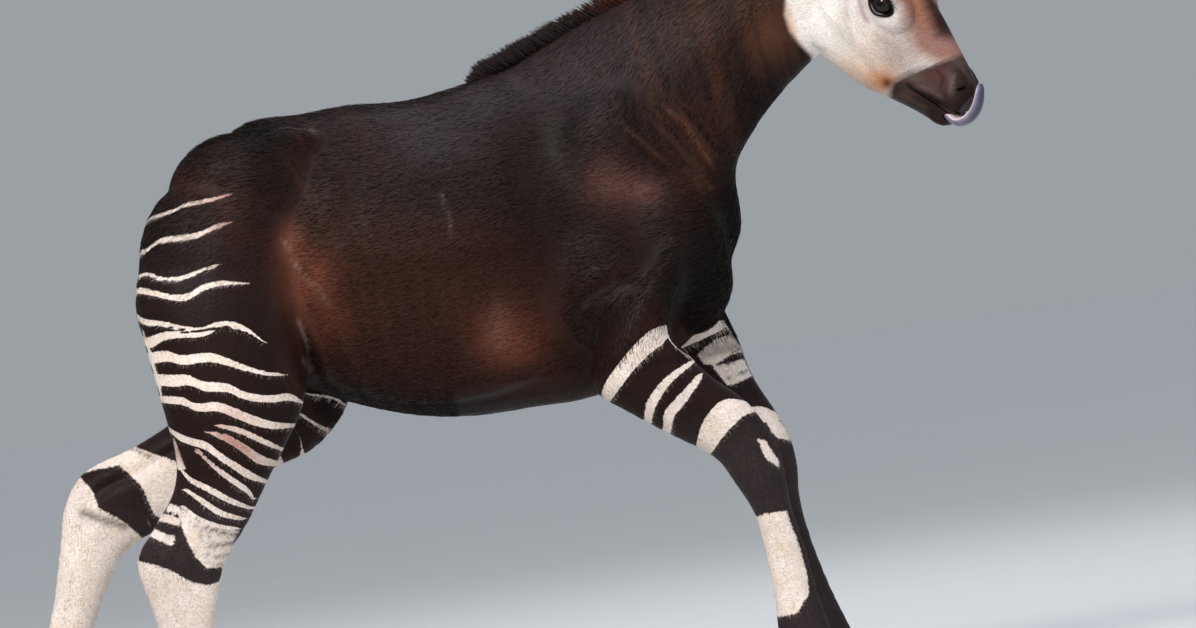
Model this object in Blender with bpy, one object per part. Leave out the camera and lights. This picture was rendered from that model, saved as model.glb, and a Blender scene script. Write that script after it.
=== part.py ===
"""A life-size okapi calf, walking, divided into its named parts. Metres, +X ahead, +Z up."""
import math
import random

import bmesh
import bpy
import numpy as np
from mathutils import Matrix, Vector

# The whole figure is laid out in a frame with x ahead, y to the left side and z above the floor.
# SHIFT then moves it so that the origin is the middle of its footprint.
SHIFT = Vector((0.1410, 0.0192, 0.0))

GAP = 0.0003              # clearance between neighbouring parts
VOXEL = 0.0036            # grain of the fused body
RING = 36                 # points round each section
SPAN = 5                  # rings laid between two sections
BODY_TRIANGLES = 6800     # faces left in the fused body
EAR_LENGTH = 0.170
EAR_WIDTH = 0.046         # half width of the ear
EAR_SPREAD = [(0.0, 0.42), (0.10, 0.47), (0.22, 0.66), (0.36, 0.88), (0.50, 1.0), (0.64, 0.98),
              (0.78, 0.82), (0.89, 0.56), (0.96, 0.30), (1.0, 0.10)]
EAR_ROLL = [(0.0, 165.0), (0.16, 138.0), (0.34, 84.0), (0.55, 54.0), (1.0, 36.0)]
EAR_STEPS = 7
EAR_WALL = 0.0032
EAR_PLUG = (0.0150, 0.0150, 0.022)   # the solid root inside the cup
EAR_PLUG_RISE = 0.006
EAR_PLUG_BACK = 0.016
EYE_RADIUS = 0.0195
LID_RADIUS = 0.0232
EYE_RING = 16
EYE_ROWS = 9
EYE_OPENING = (0.0190, 0.0122)
TAIL_RADIUS = 0.0125
MANE_HEIGHT = 0.024
MANE_THICKNESS = 0.007    # half the thickness at the root
MANE_SUNK = 0.010
MANE_CORE = 0.55          # height of the blade under the locks, as a part of the mane's height
MANE_LOCKS = 54
MANE_SEED = 7
TAIL_LOCKS = 18
TAIL_SEED = 11
LOCK_SHAPE = [(0.0, 0.80), (0.35, 1.0), (0.68, 0.74), (1.0, 0.0)]
LOCK_TIP = 0.10
LOCK_SPANS = 3
LOCK_SIDES = 4
MANE_SECTION = [(-1.0, 0.0), (-0.85, 0.35), (-0.50, 0.80), (0.0, 1.0), (0.50, 0.80), (0.85, 0.35), (1.0, 0.0)]
EVENING = 60              # rounds of evening after the masses are fused
SWELL = 0.0022            # the fused body is let out by this after it is evened

# A section is: upper or front point (x, z), lower or back point (x, z), y, half width, pinch.
# The pinch narrows the side of the first point.
TORSO = [
    ((-0.552, 0.790), (-0.568, 0.700), 0.0, 0.048, 0.00),
    ((-0.508, 0.848), (-0.540, 0.640), 0.0, 0.088, 0.05),
    ((-0.440, 0.893), (-0.484, 0.580), 0.0, 0.104, 0.12),
    ((-0.364, 0.896), (-0.415, 0.532), 0.0, 0.112, 0.20),
    ((-0.295, 0.899), (-0.351, 0.500), 0.0, 0.121, 0.26),
    ((-0.220, 0.895), (-0.272, 0.472), 0.0, 0.127, 0.30),
    ((-0.142, 0.905), (-0.192, 0.458), 0.0, 0.126, 0.36),
    ((-0.075, 0.918), (-0.102, 0.458), 0.0, 0.118, 0.42),
    ((-0.005, 0.905), (-0.027, 0.460), 0.0, 0.108, 0.42),
    ((0.065, 0.856), (0.055, 0.482), 0.0, 0.098, 0.30),
    ((0.128, 0.799), (0.130, 0.526), 0.0, 0.082, 0.15),
    ((0.178, 0.730), (0.183, 0.584), 0.0, 0.050, 0.00),
]
NECK = [
    ((-0.125, 0.900), (0.130, 0.540), 0.0, 0.098, 0.45),
    ((-0.056, 0.931), (0.206, 0.648), 0.0, 0.086, 0.50),
    ((0.024, 0.967), (0.214, 0.739), 0.0, 0.073, 0.50),
    ((0.118, 0.999), (0.247, 0.792), -0.005, 0.062, 0.45),
    ((0.204, 1.025), (0.286, 0.832), -0.015, 0.055, 0.38),
    ((0.278, 1.044), (0.328, 0.868), -0.030, 0.051, 0.30),
    ((0.340, 1.052), (0.368, 0.893), -0.044, 0.048, 0.22),
    ((0.374, 1.036), (0.392, 0.915), -0.052, 0.042, 0.10),
]
FORE_RIGHT = [
    ((0.135, 0.665), (0.000, 0.545), -0.092, 0.052, 0.0),
    ((0.118, 0.595), (-0.020, 0.500), -0.098, 0.051, 0.0),
    ((0.096, 0.537), (-0.016, 0.466), -0.101, 0.048, 0.0),
    ((0.113, 0.502), (0.018, 0.438), -0.101, 0.044, 0.0),
    ((0.140, 0.468), (0.067, 0.402), -0.100, 0.039, 0.0),
    ((0.183, 0.427), (0.109, 0.374), -0.098, 0.034, 0.0),
    ((0.212, 0.373), (0.133, 0.353), -0.096, 0.033, 0.0),
    ((0.220, 0.329), (0.149, 0.324), -0.095, 0.033, 0.0),
    ((0.222, 0.282), (0.171, 0.275), -0.094, 0.026, 0.0),
    ((0.233, 0.225), (0.178, 0.218), -0.092, 0.023, 0.0),
    ((0.241, 0.163), (0.182, 0.158), -0.092, 0.024, 0.0),
    ((0.253, 0.111), (0.182, 0.101), -0.092, 0.029, 0.0),
    ((0.263, 0.078), (0.202, 0.058), -0.092, 0.026, 0.0),
    ((0.279, 0.049), (0.216, 0.022), -0.092, 0.028, 0.0),
    ((0.284, 0.030), (0.226, 0.008), -0.092, 0.024, 0.0),
]
FORE_LEFT = [
    ((0.150, 0.665), (0.015, 0.560), 0.092, 0.052, 0.0),
    ((0.168, 0.585), (0.030, 0.505), 0.098, 0.051, 0.0),
    ((0.180, 0.535), (0.056, 0.490), 0.101, 0.048, 0.0),
    ((0.187, 0.508), (0.078, 0.462), 0.101, 0.044, 0.0),
    ((0.200, 0.457), (0.108, 0.424), 0.100, 0.039, 0.0),
    ((0.225, 0.403), (0.148, 0.376), 0.098, 0.034, 0.0),
    ((0.238, 0.369), (0.162, 0.350), 0.096, 0.033, 0.0),
    ((0.243, 0.328), (0.171, 0.323), 0.095, 0.033, 0.0),
    ((0.240, 0.284), (0.187, 0.277), 0.094, 0.026, 0.0),
    ((0.248, 0.224), (0.192, 0.215), 0.092, 0.023, 0.0),
    ((0.264, 0.159), (0.205, 0.150), 0.092, 0.024, 0.0),
    ((0.280, 0.110), (0.210, 0.095), 0.092, 0.029, 0.0),
    ((0.292, 0.077), (0.231, 0.055), 0.092, 0.026, 0.0),
    ((0.308, 0.049), (0.245, 0.022), 0.092, 0.028, 0.0),
    ((0.314, 0.030), (0.256, 0.008), 0.092, 0.024, 0.0),
]
HIND_RIGHT = [
    ((-0.395, 0.849), (-0.515, 0.817), -0.068, 0.040, 0.0),
    ((-0.392, 0.745), (-0.590, 0.742), -0.082, 0.052, 0.0),
    ((-0.395, 0.646), (-0.615, 0.674), -0.092, 0.058, 0.0),
    ((-0.397, 0.562), (-0.609, 0.609), -0.099, 0.056, 0.0),
    ((-0.409, 0.506), (-0.599, 0.537), -0.103, 0.050, 0.0),
    ((-0.437, 0.460), (-0.590, 0.460), -0.103, 0.044, 0.0),
    ((-0.473, 0.408), (-0.600, 0.414), -0.099, 0.036, 0.0),
    ((-0.504, 0.361), (-0.630, 0.373), -0.093, 0.031, 0.0),
    ((-0.540, 0.315), (-0.662, 0.328), -0.087, 0.031, 0.0),
    ((-0.559, 0.268), (-0.655, 0.278), -0.082, 0.029, 0.0),
    ((-0.570, 0.228), (-0.647, 0.236), -0.078, 0.026, 0.0),
    ((-0.580, 0.175), (-0.639, 0.184), -0.072, 0.023, 0.0),
    ((-0.575, 0.124), (-0.634, 0.130), -0.067, 0.024, 0.0),
    ((-0.562, 0.086), (-0.631, 0.074), -0.063, 0.029, 0.0),
    ((-0.545, 0.065), (-0.604, 0.040), -0.060, 0.026, 0.0),
    ((-0.521, 0.047), (-0.583, 0.019), -0.058, 0.028, 0.0),
    ((-0.515, 0.029), (-0.572, 0.007), -0.058, 0.024, 0.0),
]
HIND_LEFT = [
    ((-0.395, 0.849), (-0.515, 0.817), 0.068, 0.040, 0.0),
    ((-0.375, 0.742), (-0.592, 0.745), 0.082, 0.052, 0.0),
    ((-0.355, 0.641), (-0.618, 0.679), 0.092, 0.058, 0.0),
    ((-0.348, 0.550), (-0.600, 0.625), 0.099, 0.056, 0.0),
    ((-0.361, 0.492), (-0.571, 0.578), 0.103, 0.050, 0.0),
    ((-0.411, 0.444), (-0.531, 0.556), 0.103, 0.044, 0.0),
    ((-0.470, 0.424), (-0.560, 0.530), 0.099, 0.038, 0.0),
    ((-0.543, 0.398), (-0.603, 0.505), 0.097, 0.034, 0.0),
    ((-0.608, 0.372), (-0.659, 0.480), 0.095, 0.031, 0.0),
    ((-0.660, 0.354), (-0.730, 0.455), 0.094, 0.031, 0.0),
    ((-0.689, 0.336), (-0.763, 0.412), 0.092, 0.030, 0.0),
    ((-0.706, 0.316), (-0.776, 0.361), 0.090, 0.028, 0.0),
    ((-0.727, 0.278), (-0.793, 0.293), 0.088, 0.025, 0.0),
    ((-0.749, 0.232), (-0.808, 0.247), 0.086, 0.023, 0.0),
    ((-0.764, 0.184), (-0.821, 0.197), 0.084, 0.024, 0.0),
    ((-0.764, 0.136), (-0.835, 0.150), 0.082, 0.029, 0.0),
    ((-0.764, 0.100), (-0.828, 0.104), 0.082, 0.026, 0.0),
    ((-0.763, 0.066), (-0.829, 0.050), 0.082, 0.028, 0.0),
    ((-0.764, 0.046), (-0.822, 0.034), 0.082, 0.024, 0.0),
]
# Masses of flesh: middle, three half lengths, turn about y in degrees; both sides are made.
MASSES = [
    ((0.030, 0.060, 0.750), (0.080, 0.042, 0.135), 24.0),
    ((0.110, 0.064, 0.650), (0.075, 0.046, 0.085), 15.0),
    ((0.020, 0.084, 0.610), (0.085, 0.044, 0.095), -20.0),
    ((0.135, 0.030, 0.600), (0.056, 0.050, 0.075), 10.0),
    ((-0.450, 0.058, 0.795), (0.105, 0.060, 0.088), 8.0),
    ((-0.500, 0.080, 0.690), (0.105, 0.064, 0.140), -8.0),
    ((-0.545, 0.045, 0.700), (0.050, 0.040, 0.110), 8.0),
    ((-0.200, 0.062, 0.630), (0.220, 0.064, 0.150), 2.0),
    ((-0.410, 0.048, 0.852), (0.080, 0.040, 0.034), 0.0),
    ((-0.345, 0.070, 0.700), (0.090, 0.048, 0.130), 10.0),
]

# The head has its own frame: x to the nose, z to the brow, y to the left; its origin is the occiput.
HEAD_ORIGIN = Vector((0.372, -0.035, 1.0045))
HEAD_AHEAD = Vector((0.6330, -0.4110, -0.6561))
HEAD_UP = Vector((0.5503, -0.3573, 0.7547))
HEAD_SECTIONS = [
    ((-0.030, 0.020), (-0.030, -0.045), 0.0, 0.036, 0.0),
    ((-0.010, 0.042), (-0.010, -0.073), 0.0, 0.048, 0.1),
    ((0.030, 0.057), (0.030, -0.098), 0.0, 0.056, 0.1),
    ((0.070, 0.064), (0.070, -0.109), 0.0, 0.060, 0.1),
    ((0.110, 0.062), (0.110, -0.112), 0.0, 0.058, 0.1),
    ((0.150, 0.048), (0.150, -0.110), 0.0, 0.050, 0.1),
    ((0.190, 0.031), (0.190, -0.101), 0.0, 0.041, 0.1),
    ((0.230, 0.010), (0.230, -0.094), 0.0, 0.036, 0.0),
    ((0.260, -0.005), (0.258, -0.091), 0.0, 0.033, 0.0),
    ((0.279, -0.017), (0.275, -0.084), 0.0, 0.028, 0.0),
    ((0.290, -0.030), (0.284, -0.072), 0.0, 0.016, 0.0),
]
HEAD_MASSES = [
    ((0.122, 0.036, 0.033), (0.036, 0.016, 0.012), 14.0),
    ((0.128, 0.032, 0.008), (0.050, 0.026, 0.034), 10.0),
    ((0.125, 0.034, -0.022), (0.060, 0.016, 0.014), 10.0),
    ((0.060, 0.032, -0.055), (0.048, 0.026, 0.040), 10.0),
    ((0.256, 0.016, -0.028), (0.028, 0.014, 0.019), 20.0),
    ((0.258, 0.004, -0.078), (0.022, 0.020, 0.012), 8.0),
    ((0.036, 0.034, 0.028), (0.030, 0.020, 0.026), 0.0),
    ((0.082, 0.028, 0.028), (0.052, 0.024, 0.030), 8.0),
]
# Places of the head that keep small faces: place, reach and how freely faces merge there.
FINE_PLACES = [((0.133, 0.058, 0.013), 0.034, 0.50), ((0.270, 0.015, -0.040), 0.042, 0.66)]
EYE_PLACE = Vector((0.130, 0.0415, 0.014))
POLL_CUT = ((-0.045, 0.0, 0.055), (0.045, 0.0, -0.115))
NOSTRIL_PLACE = Vector((0.277, 0.0205, -0.026))
NOSTRIL_SIZE = (0.0095, 0.0050, 0.0036)
NOSTRIL_YAW = -34.0
MOUTH_CORNER = Vector((0.207, 0.0, -0.0635))
MOUTH_FRONT = Vector((0.300, 0.0, -0.0600))
EAR_ROOT = Vector((0.036, 0.040, 0.034))
EAR_DIRECTION = Vector((-0.42, 0.62, 0.66))

# The tongue's line in the head's frame, with its half width and half thickness.
TONGUE = [
    ((0.236, -0.004, -0.0640), 0.0128, 0.0050),
    ((0.262, -0.008, -0.0660), 0.0132, 0.0056),
    ((0.280, -0.011, -0.0695), 0.0135, 0.0062),
    ((0.295, -0.012, -0.0680), 0.0135, 0.0064),
    ((0.3050, -0.012, -0.0570), 0.0130, 0.0062),
    ((0.3085, -0.012, -0.0415), 0.0122, 0.0058),
    ((0.3055, -0.012, -0.0260), 0.0108, 0.0050),
    ((0.2990, -0.011, -0.0130), 0.0080, 0.0040),
    ((0.2950, -0.011, -0.0075), 0.0040, 0.0024),
]
TAIL = [
    ((-0.532, 0.002, 0.802), 1.10),
    ((-0.571, 0.004, 0.778), 1.00),
    ((-0.584, 0.006, 0.738), 0.85),
    ((-0.590, 0.008, 0.695), 0.74),
    ((-0.591, 0.010, 0.650), 0.62),
    ((-0.587, 0.011, 0.610), 0.60),
    ((-0.581, 0.012, 0.578), 0.58),
    ((-0.574, 0.012, 0.552), 0.30),
]
# The crest of the neck, from the withers to the poll.
CREST = [
    (-0.126, 0.000, 0.906), (-0.085, 0.000, 0.921), (-0.030, 0.000, 0.942), (0.024, 0.000, 0.963),
    (0.118, -0.005, 0.995), (0.204, -0.015, 1.021), (0.278, -0.030, 1.040), (0.335, -0.043, 1.048),
]
# Feet: name, middle of the coronet (x, y, z), pitch toe down in degrees.
FEET = [
    ("foreleg_right", (0.2475, -0.092, 0.0360), 0.0),
    ("foreleg_left", (0.2765, 0.092, 0.0360), 0.0),
    ("hindleg_right", (-0.5520, -0.058, 0.0340), 0.0),
    ("hindleg_left", (-0.7960, 0.082, 0.0560), 40.0),
]
CORONET_TILT = 24.0       # the coronet plane drops this much to the heel
CLAW_LENGTH = 0.074
CLAW_TOP = 0.060
CLAW_WIDTH = 0.0255
CLAW_SPLIT = 0.0016       # half the gap between two claws at the coronet

COLOURS = {
    "coat": (0.045, 0.022, 0.018, 1.0),
    "face": (0.420, 0.300, 0.240, 1.0),
    "stocking": (0.620, 0.520, 0.460, 1.0),
    "mane": (0.030, 0.012, 0.010, 1.0),
    "tongue": (0.180, 0.150, 0.210, 1.0),
    "eye": (0.010, 0.006, 0.005, 1.0),
    "hoof": (0.060, 0.050, 0.045, 1.0),
}
ROUGHNESS = {"coat": 0.55, "face": 0.65, "stocking": 0.65, "mane": 0.6, "tongue": 0.35, "eye": 0.06,
             "hoof": 0.45}


def material(kind):
    made = bpy.data.materials.new(kind)
    made.use_nodes = True
    shader = made.node_tree.nodes["Principled BSDF"]
    shader.inputs["Base Color"].default_value = COLOURS[kind]
    shader.inputs["Roughness"].default_value = ROUGHNESS[kind]
    shader.inputs["Metallic"].default_value = 0.0
    made.diffuse_color = COLOURS[kind]
    return made


def head_matrix():
    left = HEAD_UP.cross(HEAD_AHEAD).normalized()
    up = HEAD_AHEAD.cross(left).normalized()
    ahead = HEAD_AHEAD.normalized()
    turn = Matrix((ahead, left, up)).transposed().to_4x4()
    return Matrix.Translation(HEAD_ORIGIN) @ turn


def curve_rows(rows, span):
    """Rows of numbers are joined by a smooth curve through all of them."""
    rows = np.array(rows, dtype=float)
    ends = np.vstack([2 * rows[0] - rows[1], rows, 2 * rows[-1] - rows[-2]])
    out = []
    for i in range(1, len(ends) - 2):
        before, here, ahead, beyond = ends[i - 1], ends[i], ends[i + 1], ends[i + 2]
        for k in range(span):
            t = k / span
            bend = (2 * before - 5 * here + 4 * ahead - beyond) * t * t
            twist = (3 * here - before - 3 * ahead + beyond) * t * t * t
            out.append(0.5 * (2 * here + (ahead - before) * t + bend + twist))
    out.append(ends[-2])
    return np.array(out)


def loft_mesh(rings, folded=False):
    """Rings of points (count, points, 3) become a closed tube. A folded ring is a line out and back."""
    count, points = rings.shape[0], rings.shape[1]
    verts = [tuple(p) for p in rings.reshape(-1, 3)]
    faces = []
    for i in range(count - 1):
        for j in range(points):
            k = (j + 1) % points
            faces.append((i * points + j, i * points + k, (i + 1) * points + k, (i + 1) * points + j))
    if folded:
        for base in (0, (count - 1) * points):
            for j in range(points // 2 - 1):
                faces.append((base + j, base + j + 1, base + points - 2 - j, base + points - 1 - j))
        return verts, faces
    first = len(verts)
    verts.append(tuple(rings[0].mean(axis=0)))
    verts.append(tuple(rings[-1].mean(axis=0)))
    for j in range(points):
        k = (j + 1) % points
        faces.append((first, k, j))
        base = (count - 1) * points
        faces.append((first + 1, base + j, base + k))
    return verts, faces


def section_rings(sections, span=SPAN, ring=RING):
    rows = []
    for upper, lower, y, half, pinch in sections:
        rows.append((upper[0], upper[1], lower[0], lower[1], y, half, pinch))
    rows = curve_rows(rows, span)
    angle = np.linspace(0, 2 * math.pi, ring, endpoint=False)
    rings = []
    for ux, uz, lx, lz, y, half, pinch in rows:
        along = np.cos(angle)
        width = half * np.sin(angle) * (1 - pinch * np.clip(along, 0, 1) ** 1.3)
        x = (ux + lx) / 2 + along * (ux - lx) / 2
        z = (uz + lz) / 2 + along * (uz - lz) / 2
        rings.append(np.stack([x, y + width, z], axis=1))
    return np.array(rings)


def ellipsoid_rings(middle, radii, turn, ring=24, rows=14):
    levels = np.linspace(0.03, math.pi - 0.03, rows)
    angle = np.linspace(0, 2 * math.pi, ring, endpoint=False)
    c, s = math.cos(math.radians(turn)), math.sin(math.radians(turn))
    rings = []
    for level in levels:
        x = radii[0] * math.sin(level) * np.cos(angle)
        y = radii[1] * math.sin(level) * np.sin(angle)
        z = np.full(ring, -radii[2] * math.cos(level))
        rings.append(np.stack([middle[0] + c * x + s * z, middle[1] + y, middle[2] - s * x + c * z], axis=1))
    return np.array(rings)


def add_piece(pieces, rings, matrix=None):
    if matrix is not None:
        turn = np.array(matrix.to_3x3())
        rings = rings @ turn.T + np.array(matrix.translation)
    pieces.append(loft_mesh(rings))


def body_pieces():
    pieces = []
    head = head_matrix()
    for sections in (TORSO, NECK, FORE_RIGHT, FORE_LEFT, HIND_RIGHT, HIND_LEFT):
        add_piece(pieces, section_rings(sections))
    for middle, radii, turn in MASSES:
        for side in (-1, 1):
            add_piece(pieces, ellipsoid_rings((middle[0], side * middle[1], middle[2]), radii, turn))
    add_piece(pieces, section_rings(HEAD_SECTIONS), head)
    for middle, radii, turn in HEAD_MASSES:
        for side in (-1, 1):
            add_piece(pieces, ellipsoid_rings((middle[0], side * middle[1], middle[2]), radii, turn), head)
    for side in (-1, 1):
        place = (EYE_PLACE.x, side * EYE_PLACE.y, EYE_PLACE.z)
        add_piece(pieces, ellipsoid_rings(place, (LID_RADIUS * 1.12, LID_RADIUS, LID_RADIUS), 0.0), head)
    return pieces


def object_of(name, verts, faces):
    mesh = bpy.data.meshes.new(name)
    mesh.from_pydata(verts, [], faces)
    mesh.update()
    made = bpy.data.objects.new(name, mesh)
    bpy.context.scene.collection.objects.link(made)
    outward(made)
    return made


def outward(obj):
    work = bmesh.new()
    work.from_mesh(obj.data)
    bmesh.ops.recalc_face_normals(work, faces=work.faces)
    if work.calc_volume(signed=True) < 0:
        bmesh.ops.reverse_faces(work, faces=work.faces)
    work.to_mesh(obj.data)
    work.free()


def remove(obj):
    mesh = obj.data
    bpy.data.objects.remove(obj, do_unlink=True)
    bpy.data.meshes.remove(mesh)


def settle(obj):
    """The object's modifiers become its mesh."""
    bpy.context.view_layer.update()
    graph = bpy.context.evaluated_depsgraph_get()
    baked = bpy.data.meshes.new_from_object(obj.evaluated_get(graph))
    old = obj.data
    obj.modifiers.clear()
    obj.data = baked
    bpy.data.meshes.remove(old)


def relax(obj, rounds, keep):
    """Evens the surface; keep(points) gives how much each point may move, from 0 to 1."""
    mesh = obj.data
    count = len(mesh.vertices)
    points = np.empty(count * 3)
    mesh.vertices.foreach_get("co", points)
    points = points.reshape(-1, 3)
    edges = np.empty(len(mesh.edges) * 2, dtype=int)
    mesh.edges.foreach_get("vertices", edges)
    a, b = edges[0::2], edges[1::2]
    degree = np.bincount(a, minlength=count) + np.bincount(b, minlength=count)
    weight = keep(points)[:, None]
    for turn in range(rounds):
        for step in (0.55, -0.52):
            total = np.zeros_like(points)
            for axis in range(3):
                total[:, axis] = np.bincount(a, points[b, axis], count) + np.bincount(b, points[a, axis], count)
            points = points + step * weight * (total / degree[:, None] - points)
    mesh.vertices.foreach_set("co", points.ravel())
    mesh.update()


def head_local(points):
    turn = np.array(head_matrix().to_3x3())
    return (points - np.array(HEAD_ORIGIN)) @ turn


def looseness(points):
    """1 on the trunk and limbs, falling to little on the head."""
    local = head_local(points)
    near = 1 / (1 + np.exp(-(local[:, 0] + 0.005) / 0.012))
    radius = np.hypot(local[:, 1], local[:, 2])
    near = near * (radius < 0.16)
    return 1 - 0.75 * near


def fused_body():
    verts = []
    faces = []
    for piece_verts, piece_faces in body_pieces():
        base = len(verts)
        verts.extend(piece_verts)
        faces.extend([tuple(base + i for i in face) for face in piece_faces])
    body = object_of("body", verts, faces)
    fuse = body.modifiers.new("fuse", "REMESH")
    fuse.mode = "VOXEL"
    fuse.voxel_size = VOXEL
    fuse.adaptivity = 0.0
    settle(body)
    relax(body, EVENING, looseness)
    let_out(body, SWELL)
    return body


def let_out(obj, amount):
    """Every point moves out along its normal."""
    mesh = obj.data
    count = len(mesh.vertices)
    points = np.empty(count * 3)
    normals = np.empty(count * 3)
    mesh.vertices.foreach_get("co", points)
    mesh.vertices.foreach_get("normal", normals)
    mesh.vertices.foreach_set("co", points + normals * amount)
    mesh.update()


def thin_out(body, triangles):
    """Fewer faces, with the head and feet kept finer than the trunk."""
    mesh = body.data
    points = np.empty(len(mesh.vertices) * 3)
    mesh.vertices.foreach_get("co", points)
    points = points.reshape(-1, 3)
    local = head_local(points)
    mirrored = np.stack([local[:, 0], np.abs(local[:, 1]), local[:, 2]], axis=1)
    group = body.vertex_groups.new(name="coarse")
    amount = np.full(len(points), 1.0)
    amount[points[:, 2] < 0.40] = 0.92
    amount[(local[:, 0] > 0.0) & (np.hypot(local[:, 1], local[:, 2]) < 0.14)] = 0.88
    for place, reach, least in FINE_PLACES:
        away = np.linalg.norm(mirrored - np.array(place), axis=1) / reach
        amount = np.minimum(amount, least + (1 - least) * np.clip(away - 0.5, 0, 1) * 2)
    for index, value in enumerate(amount):
        group.add([index], float(value), "REPLACE")
    work = bmesh.new()
    work.from_mesh(mesh)
    bmesh.ops.triangulate(work, faces=work.faces)
    work.to_mesh(mesh)
    work.free()
    thin = body.modifiers.new("thin", "DECIMATE")
    thin.ratio = triangles / len(mesh.polygons)
    thin.vertex_group = "coarse"
    thin.vertex_group_factor = 1.0
    settle(body)
    body.vertex_groups.clear()


def slab(middle, normal, across, width, height, thick=GAP):
    """A thin box: across is a direction in its plane, width is measured along it."""
    normal = Vector(normal).normalized()
    across = Vector(across)
    across = (across - normal * across.dot(normal)).normalized()
    rise = normal.cross(across)
    verts = []
    for n in (-thick / 2, thick / 2):
        for a, r in ((-1, -1), (1, -1), (1, 1), (-1, 1)):
            verts.append(Vector(middle) + normal * n + across * (a * width / 2) + rise * (r * height / 2))
    faces = [(0, 1, 2, 3), (4, 5, 6, 7), (0, 1, 5, 4), (1, 2, 6, 5), (2, 3, 7, 6), (3, 0, 4, 7)]
    return object_of("slab", verts, faces)


def carve(target, cutter, operation="DIFFERENCE", solver="EXACT"):
    cut = target.modifiers.new("cut", "BOOLEAN")
    cut.operation = operation
    cut.solver = solver
    cut.object = cutter
    settle(target)
    remove(cutter)


def section_slab(upper, lower, y, width, extra=0.06):
    """A cut across a part, through an upper and a lower point (x, z) of its outline."""
    top = Vector((upper[0], y, upper[1]))
    bottom = Vector((lower[0], y, lower[1]))
    along = top - bottom
    normal = along.cross(Vector((0, 1, 0)))
    return slab((top + bottom) / 2, normal, (0, 1, 0), width, along.length + extra)


def head_point(local):
    return head_matrix() @ Vector(local)


def head_way(local):
    return head_matrix().to_3x3() @ Vector(local)


def eye_ball(name, side, radius):
    place = (EYE_PLACE.x, side * EYE_PLACE.y, EYE_PLACE.z)
    rings = ellipsoid_rings(place, (radius, radius, radius), 0.0, EYE_RING, EYE_ROWS)
    matrix = head_matrix()
    rings = rings @ np.array(matrix.to_3x3()).T + np.array(matrix.translation)
    return object_of(name, *loft_mesh(rings))


def nostril_bore(side):
    """A slanted slit sunk into the side of the nose."""
    rings = ellipsoid_rings((0.0, 0.0, 0.0), NOSTRIL_SIZE, 0.0, 12, 8)
    turn = Matrix.Rotation(math.radians(side * NOSTRIL_YAW), 4, "Z") @ Matrix.Rotation(math.radians(-38), 4, "Y")
    place = Matrix.Translation((NOSTRIL_PLACE.x, side * NOSTRIL_PLACE.y, NOSTRIL_PLACE.z))
    matrix = head_matrix() @ place @ turn
    rings = rings @ np.array(matrix.to_3x3()).T + np.array(matrix.translation)
    return object_of("nostril", *loft_mesh(rings))


def eye_window(side):
    """An almond-shaped bore through the lids, pointing out of the eye."""
    matrix = head_matrix()
    out = Vector((0.10, side * 1.0, 0.12)).normalized()
    front = Vector((1, 0, -0.12))
    front = (front - out * front.dot(out)).normalized()
    up = front.cross(out) * (-side)
    if up.z < 0:
        up = -up
    rings = []
    for depth in (0.004, 0.040):
        ring = []
        for k in range(20):
            t = 2 * math.pi * k / 20
            x = math.cos(t)
            z = math.sin(t) * (1 - 0.25 * abs(x))
            place = Vector((EYE_PLACE.x, side * EYE_PLACE.y, EYE_PLACE.z))
            place += out * depth + front * (x * EYE_OPENING[0]) + up * (z * EYE_OPENING[1])
            ring.append(tuple(matrix @ place))
        rings.append(ring)
    return object_of("window", *loft_mesh(np.array(rings)))


def tongue_tube(name, extra):
    rows = curve_rows([p + (w, t) for p, w, t in TONGUE], 2)
    rings = []
    for i, row in enumerate(rows):
        place = Vector(row[:3])
        before = Vector(rows[max(i - 1, 0)][:3])
        after = Vector(rows[min(i + 1, len(rows) - 1)][:3])
        along = (after - before).normalized()
        side = Vector((0, 1, 0))
        rise = along.cross(side).normalized()
        grow = extra
        if i == 0:
            place = place - along * extra
        ring = []
        for k in range(12):
            t = 2 * math.pi * k / 12
            point = place + side * ((row[3] + grow) * math.cos(t)) + rise * ((row[4] + grow) * math.sin(t))
            ring.append(tuple(head_matrix() @ point))
        rings.append(ring)
    return object_of(name, *loft_mesh(np.array(rings)))


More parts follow.
